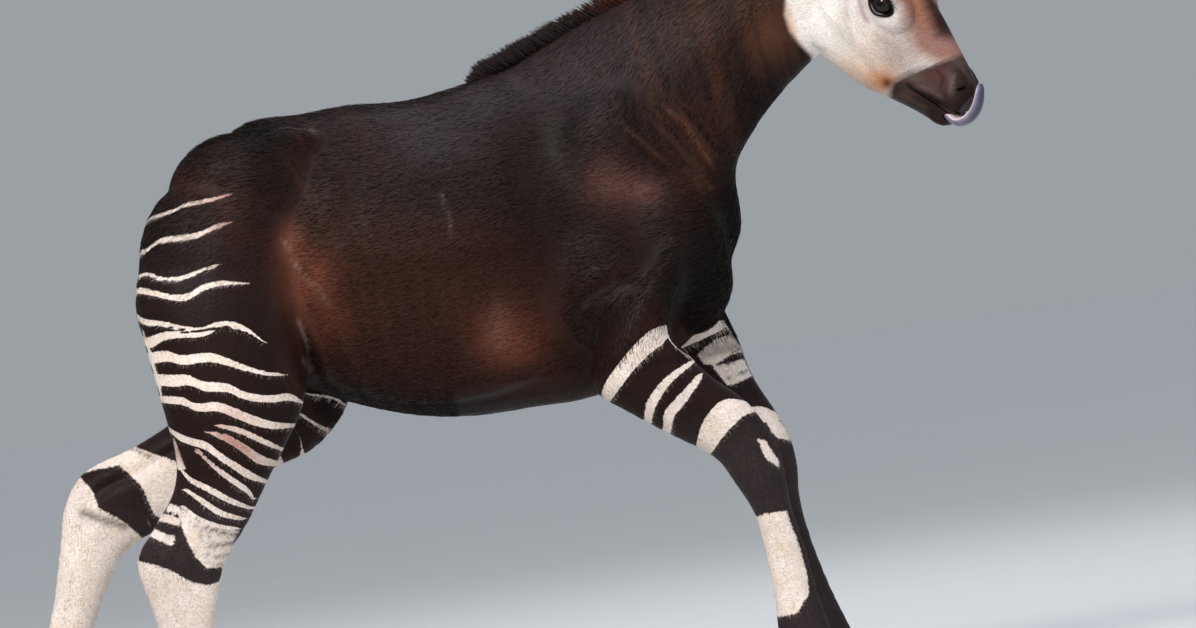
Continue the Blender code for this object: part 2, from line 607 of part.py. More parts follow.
def ear_shell(name, side):
    """A leaf rolled into a cup, open to the front, on a round root."""
    matrix = head_matrix()
    along = Vector((EAR_DIRECTION.x, side * EAR_DIRECTION.y, EAR_DIRECTION.z)).normalized()
    face = Vector((0.85, side * 0.45, 0.15))
    face = (face - along * face.dot(along)).normalized()
    across = along.cross(face)
    root = Vector((EAR_ROOT.x, side * EAR_ROOT.y, EAR_ROOT.z))
    levels = 12
    rings = []
    for i in range(levels + 1):
        t = i / levels
        width = EAR_WIDTH * float(np.interp(t, *zip(*EAR_SPREAD)))
        roll = math.radians(float(np.interp(t, *zip(*EAR_ROLL))))
        bend = width / math.sin(min(roll, math.pi / 2)) if roll < math.pi / 2 else width
        middle = root + along * (EAR_LENGTH * t) + face * (0.010 * math.sin(math.pi * t))
        outer = []
        inner = []
        steps = EAR_STEPS
        for k in range(steps):
            a = roll * (2 * k / (steps - 1) - 1)
            wall = EAR_WALL * (1 - 0.45 * t) * (1 - 0.45 * abs(2 * k / (steps - 1) - 1) ** 3)
            for line, radius in ((outer, bend), (inner, bend - wall)):
                sideways = across * (radius * math.sin(a))
                depth = face * (bend * math.cos(roll) - radius * math.cos(a))
                line.append(tuple(matrix @ (middle + sideways + depth)))
        rings.append(outer + inner[::-1])
    shell = object_of(name, *loft_mesh(np.array(rings), True))
    turn = Vector((0, 0, 1)).rotation_difference(along).to_matrix().to_4x4()
    plug = ellipsoid_rings((0.0, 0.0, 0.0), EAR_PLUG, 0.0, 12, 7)
    seat_at = matrix @ Matrix.Translation(root + along * EAR_PLUG_RISE - face * EAR_PLUG_BACK) @ turn
    plug = plug @ np.array(seat_at.to_3x3()).T + np.array(seat_at.translation)
    carve(shell, object_of("plug", *loft_mesh(plug)), "UNION")
    return shell


def tube(name, line, radius, ring=12, span=3):
    rows = curve_rows([p + (r,) for p, r in line], span)
    rings = []
    side = Vector((0, 1, 0))
    for i, row in enumerate(rows):
        before = Vector(rows[max(i - 1, 0)][:3])
        after = Vector(rows[min(i + 1, len(rows) - 1)][:3])
        along = (after - before).normalized()
        rise = along.cross(side).normalized()
        flat = rise.cross(along).normalized()
        ring_points = []
        for k in range(ring):
            t = 2 * math.pi * k / ring
            point = Vector(row[:3]) + (flat * math.cos(t) + rise * math.sin(t)) * (radius * row[3])
            ring_points.append(tuple(point))
        rings.append(ring_points)
    return object_of(name, *loft_mesh(np.array(rings)))


def mane_blade(name):
    """The standing mane: a thin upright blade along the crest, sunk a little into the neck."""
    rows = curve_rows(CREST, 4)
    rings = []
    last = len(rows) - 1
    for i, row in enumerate(rows):
        before = Vector(rows[max(i - 1, 0)])
        after = Vector(rows[min(i + 1, last)])
        along = (after - before).normalized()
        side = Vector((0, 0, 1)).cross(along).normalized()
        up = along.cross(side)
        t = i / last
        height = MANE_CORE * MANE_HEIGHT * min(1.0, 0.35 + 6.0 * t) * min(1.0, 0.35 + 8.0 * (1 - t))
        ring = []
        for across, rise in MANE_SECTION:
            place = Vector(row) + side * (across * MANE_THICKNESS) + up * (rise * height - MANE_SUNK * (rise <= 0))
            ring.append(tuple(place))
        rings.append(ring)
    return object_of(name, *loft_mesh(np.array(rings)))


def lock_mesh(root, way, length, half_width, half_thick, flat_way, sag):
    """A flat, tapered lock: it leaves the root along one direction and bends toward another."""
    rings = []
    for i in range(LOCK_SPANS + 1):
        t = i / LOCK_SPANS
        place = Vector(root) + Vector(way) * (length * t) + Vector(sag) * (length * t * t)
        along = (Vector(way) + Vector(sag) * (2 * t)).normalized()
        wide = (Vector(flat_way) - along * along.dot(Vector(flat_way))).normalized()
        thin = along.cross(wide)
        size = max(LOCK_TIP, float(np.interp(t, *zip(*LOCK_SHAPE))))
        ring = []
        for k in range(LOCK_SIDES):
            a = 2 * math.pi * k / LOCK_SIDES
            point = place + wide * (half_width * size * math.cos(a)) + thin * (half_thick * size * math.sin(a))
            ring.append(tuple(point))
        rings.append(ring)
    return loft_mesh(np.array(rings))


def join_locks(base, locks):
    """All locks are united with the base in one step, and its largest surface is kept."""
    group = bpy.data.collections.new("locks")
    bpy.context.scene.collection.children.link(group)
    made = []
    for verts, faces in locks:
        lock = object_of("lock", verts, faces)
        bpy.context.scene.collection.objects.unlink(lock)
        group.objects.link(lock)
        made.append(lock)
    join = base.modifiers.new("join", "BOOLEAN")
    join.operation = "UNION"
    join.solver = "EXACT"
    join.operand_type = "COLLECTION"
    join.collection = group
    settle(base)
    for lock in made:
        remove(lock)
    bpy.data.collections.remove(group)
    return base


def place_on(rows, t):
    """A point on a curve and its direction there, t running from 0 to 1."""
    spot = t * (len(rows) - 1)
    i = min(int(spot), len(rows) - 2)
    a = Vector(rows[i][:3])
    b = Vector(rows[i + 1][:3])
    return a.lerp(b, spot - i), (b - a).normalized()


def mane_locks():
    chance = random.Random(MANE_SEED)
    rows = curve_rows(CREST, 6)
    locks = []
    for i in range(MANE_LOCKS):
        t = (i + 0.5) / MANE_LOCKS
        spot, along = place_on(rows, t)
        side = Vector((0, 0, 1)).cross(along).normalized()
        up = along.cross(side)
        row = (i % 3 - 1) * MANE_THICKNESS * 0.55
        lean = -0.42 + chance.uniform(-0.16, 0.16)
        roll = (i % 3 - 1) * 0.16 + chance.uniform(-0.10, 0.10)
        way = (up + along * lean + side * roll).normalized()
        ends = min(1.0, 0.50 + 5.0 * t) * min(1.0, 0.50 + 6.0 * (1 - t))
        length = (MANE_HEIGHT * chance.uniform(0.96, 1.26) + MANE_SUNK * 0.4) * ends
        root = spot + side * row - up * (MANE_SUNK * 0.4)
        flat = (along + side * chance.uniform(-0.5, 0.5)).normalized()
        sag = along * chance.uniform(-0.22, 0.02) + side * chance.uniform(-0.12, 0.12)
        width = chance.uniform(0.0085, 0.0115)
        locks.append(lock_mesh(root, way, length, width, chance.uniform(0.0017, 0.0024), flat, sag))
    return locks


def tail_locks():
    chance = random.Random(TAIL_SEED)
    rows = curve_rows([p + (r,) for p, r in TAIL], 4)
    locks = []
    for i in range(TAIL_LOCKS):
        t = 0.58 + 0.30 * (i / TAIL_LOCKS)
        spot, along = place_on(rows, t)
        a = i * 2.4 + chance.uniform(-0.3, 0.3)
        out = Vector((math.cos(a), math.sin(a), 0))
        root = spot + out * TAIL_RADIUS * 0.45
        way = (along + out * chance.uniform(0.10, 0.26)).normalized()
        length = chance.uniform(0.050, 0.078) * (1.05 - 0.3 * (t - 0.58) / 0.3)
        flat = out.cross(along).normalized()
        sag = out * chance.uniform(-0.20, -0.04)
        locks.append(lock_mesh(root, way, length, chance.uniform(0.0058, 0.0078), 0.0026, flat, sag))
    return locks


def coronet_normal(pitch):
    """Up the leg, square to the coronet plane of a foot pitched toe down by that angle."""
    tilt = math.radians(CORONET_TILT - pitch)
    return Vector((-math.sin(tilt), 0, math.cos(tilt)))


def claw(name, coronet, pitch, side):
    """One half of the hoof: a flat inner wall, a bowed outer wall and a flat sole."""
    middle = Vector(coronet)
    normal = coronet_normal(pitch)
    c, s = math.cos(math.radians(pitch)), math.sin(math.radians(pitch))

    def placed(x, y, z):
        return Vector((middle.x + c * x + s * z, middle.y + side * y, middle.z - s * x + c * z))

    sole = -0.0362 if pitch == 0 else -0.0340
    rings = []
    for level in (0.0, 0.12, 0.5, 1.0):
        length = CLAW_LENGTH + (CLAW_TOP - CLAW_LENGTH) * level
        if level == 0.0:
            length -= 0.003
        shift = 0.014 * (1 - level)
        width = CLAW_WIDTH * (1.0 - 0.06 * level)
        split = CLAW_SPLIT + 0.0022 * (1 - level)
        ring = []
        for k in range(11):
            t = math.pi * k / 10
            x = shift - length / 2 * math.cos(t)
            y = split + width * math.sin(t) ** 0.75 * (1 - 0.14 * math.cos(math.pi - t))
            ring.append((x, y))
        for k in range(1, 3):
            t = k / 3
            ring.append((shift + length / 2 * (1 - 2 * t), split + 0.0006 * math.sin(math.pi * t)))
        points = []
        for x, y in ring:
            top = math.tan(math.radians(CORONET_TILT)) * x
            low = sole
            points.append(placed(x, y, low + (top - low) * level))
        rings.append(points)
    top_ring = rings[-1]
    for i, point in enumerate(top_ring):
        drop = (point - middle).dot(normal) + GAP / 2
        top_ring[i] = point - normal * drop
    for ring in rings:
        for point in ring:
            point.z = max(point.z, 0.0)
    return object_of(name, *loft_mesh(np.array([[tuple(p) for p in ring] for ring in rings])))


def loose_parts(obj):
    """The closed surfaces of an object, each as a new object, the largest first."""
    work = bmesh.new()
    work.from_mesh(obj.data)
    bmesh.ops.triangulate(work, faces=work.faces)
    work.verts.ensure_lookup_table()
    seen = set()
    groups = []
    for vert in work.verts:
        if vert.index in seen:
            continue
        seen.add(vert.index)
        group = [vert]
        for member in group:
            for edge in member.link_edges:
                other = edge.other_vert(member)
                if other.index not in seen:
                    seen.add(other.index)
                    group.append(other)
        groups.append(group)
    out = []
    for group in groups:
        number = {vert.index: i for i, vert in enumerate(group)}
        faces = set()
        for vert in group:
            faces.update(vert.link_faces)
        verts = [tuple(vert.co) for vert in group]
        polys = [tuple(number[v.index] for v in face.verts) for face in faces]
        if len(polys) < 4:
            continue
        piece = bpy.data.meshes.new("piece")
        piece.from_pydata(verts, [], polys)
        made = bpy.data.objects.new("piece", piece)
        bpy.context.scene.collection.objects.link(made)
        out.append((volume(made), made))
    work.free()
    out.sort(key=lambda item: -abs(item[0]))
    return out


def volume(obj):
    work = bmesh.new()
    work.from_mesh(obj.data)
    amount = work.calc_volume(signed=True)
    work.free()
    return amount


def middle_of(obj):
    points = np.array([tuple(v.co) for v in obj.data.vertices])
    return Vector((points.min(axis=0) + points.max(axis=0)) / 2)


# Where each part of the cut body has the middle of its box.
PART_PLACES = {
    "torso": (-0.21, 0.0, 0.68),
    "neck": (0.13, -0.01, 0.87),
    "head": (0.43, -0.09, 0.93),
    "lower_jaw": (0.50, -0.13, 0.79),
    "foreleg_right_upper": (0.11, -0.10, 0.44),
    "foreleg_left_upper": (0.16, 0.10, 0.44),
    "foreleg_right_lower": (0.21, -0.092, 0.19),
    "foreleg_left_lower": (0.24, 0.092, 0.19),
    "hindleg_right_upper": (-0.52, -0.10, 0.45),
    "hindleg_left_upper": (-0.55, 0.10, 0.48),
    "hindleg_right_lower": (-0.59, -0.07, 0.18),
    "hindleg_left_lower": (-0.78, 0.085, 0.24),
}
PART_KIND = {"head": "face", "lower_jaw": "face"}


def cut_body(body):
    matrix = head_matrix()
    for side in (-1, 1):
        carve(body, eye_ball("socket", side, EYE_RADIUS + GAP))
        carve(body, eye_window(side))
        carve(body, nostril_bore(side))
    carve(body, tongue_tube("tongue_room", GAP))
    carve(body, section_slab((-0.140, 0.930), (0.200, 0.640), 0.0, 0.42, 0.04))
    high = Vector(POLL_CUT[0])
    low = Vector(POLL_CUT[1])
    run = high - low
    across = Vector((run.z, 0, -run.x))
    middle = (high + low) / 2
    carve(body, slab(head_point(middle), head_way(across), head_way((0, 1, 0)), 0.24, run.length + 0.09))
    mouth = (MOUTH_CORNER + MOUTH_FRONT) / 2
    run = MOUTH_FRONT - MOUTH_CORNER
    length = run.length + 0.02
    normal = Vector((-run.z, 0, run.x)).normalized()
    start = MOUTH_CORNER + run.normalized() * (length / 2)
    carve(body, slab(matrix @ start, head_way(normal), head_way(run), length, 0.12))
    down = Vector((-0.35, 0, -1)).normalized()
    low = MOUTH_CORNER + down * 0.024 + run.normalized() * 0.0001
    carve(body, slab(matrix @ low, head_way((1, 0, -0.35)), head_way(down), 0.048 + GAP, 0.12))
    carve(body, section_slab((0.170, 0.504), (0.000, 0.428), -0.105, 0.150, 0.03))
    carve(body, section_slab((0.210, 0.520), (0.050, 0.440), 0.105, 0.150, 0.03))
    carve(body, section_slab((-0.385, 0.520), (-0.625, 0.560), -0.105, 0.160, 0.03))
    carve(body, section_slab((-0.340, 0.480), (-0.620, 0.618), 0.105, 0.160, 0.03))
    carve(body, section_slab((0.222, 0.312), (0.152, 0.305), -0.095, 0.09, 0.03))
    carve(body, section_slab((0.244, 0.312), (0.174, 0.305), 0.095, 0.09, 0.03))
    carve(body, section_slab((-0.556, 0.285), (-0.662, 0.296), -0.084, 0.09, 0.03))
    carve(body, section_slab((-0.702, 0.328), (-0.776, 0.372), 0.091, 0.09, 0.03))
    for name, coronet, pitch in FEET:
        carve(body, slab(coronet, coronet_normal(pitch), (0, 1, 0), 0.075, 0.085))
    parts = {}
    for amount, piece in loose_parts(body):
        if abs(amount) < 1e-5:
            remove(piece)
            continue
        place = middle_of(piece)
        name = min(PART_PLACES, key=lambda n: (Vector(PART_PLACES[n]) - place).length)
        if name in parts or (place.z < 0.04 and abs(amount) < 1e-4):
            remove(piece)
            continue
        parts[name] = piece
        piece.name = name
        piece.data.name = name
    remove(body)
    return parts


def grown_copy(obj, amount):
    copy = bpy.data.objects.new("room", obj.data.copy())
    bpy.context.scene.collection.objects.link(copy)
    let_out(copy, amount)
    return copy


def seat(obj, room, solver="EXACT"):
    """Takes away what lies inside the body, and keeps the largest piece that is left."""
    cut = obj.modifiers.new("seat", "BOOLEAN")
    cut.operation = "DIFFERENCE"
    cut.solver = solver
    cut.object = room
    settle(obj)
    pieces = loose_parts(obj)
    name = obj.name
    remove(obj)
    for amount, piece in pieces[1:]:
        remove(piece)
    kept = pieces[0][1]
    kept.name = name
    kept.data.name = name
    return kept


def finish(obj, kind):
    outward(obj)
    obj.data.materials.clear()
    obj.data.materials.append(MATERIALS[kind])
    for face in obj.data.polygons:
        face.use_smooth = True
    for vert in obj.data.vertices:
        vert.co += SHIFT


MATERIALS = {}


def main():
    for obj in list(bpy.data.objects):
        bpy.data.objects.remove(obj, do_unlink=True)
    for kind in COLOURS:
        MATERIALS[kind] = material(kind)
    body = fused_body()
    thin_out(body, BODY_TRIANGLES)
    outward(body)
    room = grown_copy(body, GAP)
    made = cut_body(body)
    for name, obj in made.items():
        finish(obj, PART_KIND.get(name, "stocking" if "leg" in name and "lower" in name else "coat"))
    for side, word in ((-1, "right"), (1, "left")):
        finish(eye_ball("eye_" + word, side, EYE_RADIUS), "eye")
        finish(seat(ear_shell("ear_" + word, side), room), "coat")
    finish(tongue_tube("tongue", 0.0), "tongue")
    finish(seat(join_locks(tube("tail", TAIL, TAIL_RADIUS), tail_locks()), room), "coat")
    finish(seat(join_locks(mane_blade("mane"), mane_locks()), room, "MANIFOLD"), "mane")
    remove(room)
    for name, coronet, pitch in FEET:
        finish(claw(name + "_hoof_right", coronet, pitch, -1), "hoof")
        finish(claw(name + "_hoof_left", coronet, pitch, 1), "hoof")


main()
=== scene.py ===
"""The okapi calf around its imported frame: one fused skin, tufted coat, eyes, tongue, mane and tail."""
import math

import bmesh
import bpy
import numpy as np
from mathutils import Matrix, Vector
from mathutils.bvhtree import BVHTree


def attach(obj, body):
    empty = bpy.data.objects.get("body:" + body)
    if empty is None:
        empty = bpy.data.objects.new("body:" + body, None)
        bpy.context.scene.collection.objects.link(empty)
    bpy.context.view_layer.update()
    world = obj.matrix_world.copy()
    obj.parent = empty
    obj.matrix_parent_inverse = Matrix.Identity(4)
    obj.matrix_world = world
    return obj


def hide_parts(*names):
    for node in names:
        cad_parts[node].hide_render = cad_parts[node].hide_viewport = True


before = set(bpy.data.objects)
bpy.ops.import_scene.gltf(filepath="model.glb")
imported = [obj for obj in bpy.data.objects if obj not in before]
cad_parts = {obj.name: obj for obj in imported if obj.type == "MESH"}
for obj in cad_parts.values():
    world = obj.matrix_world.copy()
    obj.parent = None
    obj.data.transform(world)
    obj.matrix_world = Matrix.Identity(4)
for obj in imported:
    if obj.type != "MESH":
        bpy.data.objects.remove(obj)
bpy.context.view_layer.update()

# The shapes are laid out with x ahead, y to the left side and z above the floor; SHIFT moves them
# onto the frame's origin.
SHIFT = Vector((0.1410, 0.0192, 0.0))

# The photograph's camera.
PHOTO_WIDTH = 1196
PHOTO_MIDDLE = (598.0, 314.0)
PHOTO_SCALE = 1.36e-3     # metres a pixel on the animal's middle plane
CAMERA_AWAY = 9.0
CAMERA_HEIGHT = 0.572
CAMERA_ROLL = 8.0
SENSOR = 36.0

# The coat.
SKIN_VOXEL = 0.0052
HEAD_VOXEL = 0.0018
RING = 36
SPAN = 5
EVENING = 30
SWELL = 0.0022
COAT_DEPTH = 0.0026       # how far the skin lies inside the solids
FACE_DEPTH = 0.0012

TORSO = [
    ((-0.552, 0.790), (-0.568, 0.700), 0.0, 0.048, 0.00),
    ((-0.508, 0.848), (-0.540, 0.640), 0.0, 0.088, 0.05),
    ((-0.440, 0.893), (-0.484, 0.580), 0.0, 0.104, 0.12),
    ((-0.364, 0.896), (-0.415, 0.532), 0.0, 0.112, 0.20),
    ((-0.295, 0.899), (-0.351, 0.500), 0.0, 0.121, 0.26),
    ((-0.220, 0.895), (-0.272, 0.472), 0.0, 0.127, 0.30),
    ((-0.142, 0.905), (-0.192, 0.458), 0.0, 0.126, 0.36),
    ((-0.075, 0.918), (-0.102, 0.458), 0.0, 0.118, 0.42),
    ((-0.005, 0.905), (-0.027, 0.460), 0.0, 0.108, 0.42),
    ((0.065, 0.856), (0.055, 0.482), 0.0, 0.098, 0.30),
    ((0.128, 0.799), (0.130, 0.526), 0.0, 0.082, 0.15),
    ((0.178, 0.730), (0.183, 0.584), 0.0, 0.050, 0.00),
]
NECK = [
    ((-0.125, 0.900), (0.130, 0.540), 0.0, 0.098, 0.45),
    ((-0.056, 0.931), (0.206, 0.648), 0.0, 0.086, 0.50),
    ((0.024, 0.967), (0.214, 0.739), 0.0, 0.073, 0.50),
    ((0.118, 0.999), (0.247, 0.792), -0.005, 0.062, 0.45),
    ((0.204, 1.025), (0.286, 0.832), -0.015, 0.055, 0.38),
    ((0.278, 1.044), (0.328, 0.868), -0.030, 0.051, 0.30),
    ((0.340, 1.052), (0.368, 0.893), -0.044, 0.048, 0.22),
    ((0.374, 1.036), (0.392, 0.915), -0.052, 0.042, 0.10),
]
FORE_RIGHT = [
    ((0.135, 0.665), (0.000, 0.545), -0.092, 0.052, 0.0),
    ((0.118, 0.595), (-0.020, 0.500), -0.098, 0.051, 0.0),
    ((0.096, 0.537), (-0.016, 0.466), -0.101, 0.048, 0.0),
    ((0.113, 0.502), (0.018, 0.438), -0.101, 0.044, 0.0),
    ((0.140, 0.468), (0.067, 0.402), -0.100, 0.039, 0.0),
    ((0.183, 0.427), (0.109, 0.374), -0.098, 0.034, 0.0),
    ((0.212, 0.373), (0.133, 0.353), -0.096, 0.033, 0.0),
    ((0.220, 0.329), (0.149, 0.324), -0.095, 0.033, 0.0),
    ((0.222, 0.282), (0.171, 0.275), -0.094, 0.026, 0.0),
    ((0.233, 0.225), (0.178, 0.218), -0.092, 0.023, 0.0),
    ((0.241, 0.163), (0.182, 0.158), -0.092, 0.024, 0.0),
    ((0.253, 0.111), (0.182, 0.101), -0.092, 0.029, 0.0),
    ((0.263, 0.078), (0.202, 0.058), -0.092, 0.026, 0.0),
    ((0.279, 0.049), (0.216, 0.022), -0.092, 0.028, 0.0),
    ((0.284, 0.030), (0.226, 0.008), -0.092, 0.024, 0.0),
]
FORE_LEFT = [
    ((0.150, 0.665), (0.015, 0.560), 0.092, 0.052, 0.0),
    ((0.168, 0.585), (0.030, 0.505), 0.098, 0.051, 0.0),
    ((0.180, 0.535), (0.056, 0.490), 0.101, 0.048, 0.0),
    ((0.187, 0.508), (0.078, 0.462), 0.101, 0.044, 0.0),
    ((0.200, 0.457), (0.108, 0.424), 0.100, 0.039, 0.0),
    ((0.225, 0.403), (0.148, 0.376), 0.098, 0.034, 0.0),
    ((0.238, 0.369), (0.162, 0.350), 0.096, 0.033, 0.0),
    ((0.243, 0.328), (0.171, 0.323), 0.095, 0.033, 0.0),
    ((0.240, 0.284), (0.187, 0.277), 0.094, 0.026, 0.0),
    ((0.248, 0.224), (0.192, 0.215), 0.092, 0.023, 0.0),
    ((0.264, 0.159), (0.205, 0.150), 0.092, 0.024, 0.0),
    ((0.280, 0.110), (0.210, 0.095), 0.092, 0.029, 0.0),
    ((0.292, 0.077), (0.231, 0.055), 0.092, 0.026, 0.0),
    ((0.308, 0.049), (0.245, 0.022), 0.092, 0.028, 0.0),
    ((0.314, 0.030), (0.256, 0.008), 0.092, 0.024, 0.0),
]
HIND_RIGHT = [
    ((-0.395, 0.849), (-0.515, 0.817), -0.068, 0.040, 0.0),
    ((-0.392, 0.745), (-0.590, 0.742), -0.082, 0.052, 0.0),
    ((-0.395, 0.646), (-0.615, 0.674), -0.092, 0.058, 0.0),
    ((-0.397, 0.562), (-0.609, 0.609), -0.099, 0.056, 0.0),
    ((-0.409, 0.506), (-0.599, 0.537), -0.103, 0.050, 0.0),
    ((-0.437, 0.460), (-0.590, 0.460), -0.103, 0.044, 0.0),
    ((-0.473, 0.408), (-0.600, 0.414), -0.099, 0.036, 0.0),
    ((-0.504, 0.361), (-0.630, 0.373), -0.093, 0.031, 0.0),
    ((-0.540, 0.315), (-0.662, 0.328), -0.087, 0.031, 0.0),
    ((-0.559, 0.268), (-0.655, 0.278), -0.082, 0.029, 0.0),
    ((-0.570, 0.228), (-0.647, 0.236), -0.078, 0.026, 0.0),
    ((-0.580, 0.175), (-0.639, 0.184), -0.072, 0.023, 0.0),
    ((-0.575, 0.124), (-0.634, 0.130), -0.067, 0.024, 0.0),
    ((-0.562, 0.086), (-0.631, 0.074), -0.063, 0.029, 0.0),
    ((-0.545, 0.065), (-0.604, 0.040), -0.060, 0.026, 0.0),
    ((-0.521, 0.047), (-0.583, 0.019), -0.058, 0.028, 0.0),
    ((-0.515, 0.029), (-0.572, 0.007), -0.058, 0.024, 0.0),
]
HIND_LEFT = [
    ((-0.395, 0.849), (-0.515, 0.817), 0.068, 0.040, 0.0),
    ((-0.375, 0.742), (-0.592, 0.745), 0.082, 0.052, 0.0),
    ((-0.355, 0.641), (-0.618, 0.679), 0.092, 0.058, 0.0),
    ((-0.348, 0.550), (-0.600, 0.625), 0.099, 0.056, 0.0),
    ((-0.361, 0.492), (-0.571, 0.578), 0.103, 0.050, 0.0),
    ((-0.411, 0.444), (-0.531, 0.556), 0.103, 0.044, 0.0),
    ((-0.470, 0.424), (-0.560, 0.530), 0.099, 0.038, 0.0),
    ((-0.543, 0.398), (-0.603, 0.505), 0.097, 0.034, 0.0),
    ((-0.608, 0.372), (-0.659, 0.480), 0.095, 0.031, 0.0),
    ((-0.660, 0.354), (-0.730, 0.455), 0.094, 0.031, 0.0),
    ((-0.689, 0.336), (-0.763, 0.412), 0.092, 0.030, 0.0),
    ((-0.706, 0.316), (-0.776, 0.361), 0.090, 0.028, 0.0),
    ((-0.727, 0.278), (-0.793, 0.293), 0.088, 0.025, 0.0),
    ((-0.749, 0.232), (-0.808, 0.247), 0.086, 0.023, 0.0),
    ((-0.764, 0.184), (-0.821, 0.197), 0.084, 0.024, 0.0),
    ((-0.764, 0.136), (-0.835, 0.150), 0.082, 0.029, 0.0),
    ((-0.764, 0.100), (-0.828, 0.104), 0.082, 0.026, 0.0),
    ((-0.763, 0.066), (-0.829, 0.050), 0.082, 0.028, 0.0),
    ((-0.764, 0.046), (-0.822, 0.034), 0.082, 0.024, 0.0),
]
MASSES = [
    ((0.030, 0.060, 0.750), (0.080, 0.042, 0.135), 24.0),
    ((0.110, 0.064, 0.650), (0.075, 0.046, 0.085), 15.0),
    ((0.020, 0.084, 0.610), (0.085, 0.044, 0.095), -20.0),
    ((0.135, 0.030, 0.600), (0.056, 0.050, 0.075), 10.0),
    ((-0.450, 0.058, 0.795), (0.105, 0.060, 0.088), 8.0),
    ((-0.500, 0.080, 0.690), (0.105, 0.064, 0.140), -8.0),
    ((-0.545, 0.045, 0.700), (0.050, 0.040, 0.110), 8.0),
    ((-0.200, 0.062, 0.630), (0.220, 0.064, 0.150), 2.0),
    ((-0.410, 0.048, 0.852), (0.080, 0.040, 0.034), 0.0),
    ((-0.345, 0.070, 0.700), (0.090, 0.048, 0.130), 10.0),
]
HEAD_ORIGIN = Vector((0.372, -0.035, 1.0045))
HEAD_AHEAD = Vector((0.6330, -0.4110, -0.6561))
HEAD_UP = Vector((0.5503, -0.3573, 0.7547))
HEAD_SECTIONS = [
    ((-0.030, 0.020), (-0.030, -0.045), 0.0, 0.036, 0.0),
    ((-0.010, 0.042), (-0.010, -0.073), 0.0, 0.048, 0.1),
    ((0.030, 0.057), (0.030, -0.098), 0.0, 0.056, 0.1),
    ((0.070, 0.064), (0.070, -0.109), 0.0, 0.060, 0.1),
    ((0.110, 0.062), (0.110, -0.112), 0.0, 0.058, 0.1),
    ((0.150, 0.048), (0.150, -0.110), 0.0, 0.050, 0.1),
    ((0.190, 0.031), (0.190, -0.101), 0.0, 0.041, 0.1),
    ((0.230, 0.010), (0.230, -0.094), 0.0, 0.036, 0.0),
    ((0.260, -0.005), (0.258, -0.091), 0.0, 0.033, 0.0),
    ((0.279, -0.017), (0.275, -0.084), 0.0, 0.028, 0.0),
    ((0.290, -0.030), (0.284, -0.072), 0.0, 0.016, 0.0),
]
HEAD_MASSES = [
    ((0.122, 0.036, 0.033), (0.036, 0.016, 0.012), 14.0),
    ((0.128, 0.032, 0.008), (0.050, 0.026, 0.034), 10.0),
    ((0.125, 0.034, -0.022), (0.060, 0.016, 0.014), 10.0),
    ((0.060, 0.032, -0.055), (0.048, 0.026, 0.040), 10.0),
    ((0.256, 0.016, -0.028), (0.028, 0.014, 0.019), 20.0),
    ((0.258, 0.004, -0.078), (0.022, 0.020, 0.012), 8.0),
    ((0.036, 0.034, 0.028), (0.030, 0.020, 0.026), 0.0),
    ((0.082, 0.028, 0.028), (0.052, 0.024, 0.030), 8.0),
]
EYE_PLACE = Vector((0.130, 0.0415, 0.014))
EYE_RADIUS = 0.0195
LID_RADIUS = 0.0232
EYE_OPENING = (0.0190, 0.0124)
EYE_DROP = 1.16           # the lower lid hangs this much further from the middle than the upper
NOSTRIL_PLACE = Vector((0.277, 0.0205, -0.026))
NOSTRIL_SIZE = (0.0095, 0.0050, 0.0036)
NOSTRIL_YAW = -34.0
MOUTH_CORNER = Vector((0.207, 0.0, -0.0635))
MOUTH_FRONT = Vector((0.300, 0.0, -0.0600))
EAR_LENGTH = 0.170
EAR_WIDTH = 0.046
EAR_SPREAD = [(0.0, 0.42), (0.10, 0.47), (0.22, 0.66), (0.36, 0.88), (0.50, 1.0), (0.64, 0.98),
              (0.78, 0.82), (0.89, 0.56), (0.96, 0.30), (1.0, 0.10)]
EAR_ROLL = [(0.0, 165.0), (0.16, 138.0), (0.34, 84.0), (0.55, 54.0), (1.0, 36.0)]
EAR_WALL = 0.0032
EAR_PLUG = (0.0150, 0.0150, 0.022)
EAR_PLUG_RISE = 0.006
EAR_PLUG_BACK = 0.016
EAR_ROOT = Vector((0.036, 0.040, 0.034))
EAR_DIRECTION = Vector((-0.42, 0.62, 0.66))
TONGUE = [
    ((0.236, -0.004, -0.0640), 0.0128, 0.0050),
    ((0.262, -0.008, -0.0660), 0.0132, 0.0056),
    ((0.280, -0.011, -0.0695), 0.0135, 0.0062),
    ((0.295, -0.012, -0.0680), 0.0135, 0.0064),
    ((0.3050, -0.012, -0.0570), 0.0130, 0.0062),
    ((0.3085, -0.012, -0.0415), 0.0122, 0.0058),
    ((0.3055, -0.012, -0.0260), 0.0108, 0.0050),
    ((0.2990, -0.011, -0.0130), 0.0080, 0.0040),
    ((0.2950, -0.011, -0.0075), 0.0040, 0.0024),
]
TAIL = [
    ((-0.532, 0.002, 0.802), 1.10),
    ((-0.571, 0.004, 0.778), 1.00),
    ((-0.584, 0.006, 0.738), 0.85),
    ((-0.590, 0.008, 0.695), 0.74),
    ((-0.591, 0.010, 0.650), 0.62),
    ((-0.587, 0.011, 0.610), 0.60),
    ((-0.581, 0.012, 0.578), 0.58),
    ((-0.574, 0.012, 0.552), 0.30),
]
TAIL_RADIUS = 0.0115
CREST = [
    (-0.126, 0.000, 0.906), (-0.085, 0.000, 0.921), (-0.030, 0.000, 0.942), (0.024, 0.000, 0.963),
    (0.118, -0.005, 0.995), (0.204, -0.015, 1.021), (0.278, -0.030, 1.040), (0.335, -0.043, 1.048),
]
MANE_HEIGHT = 0.026

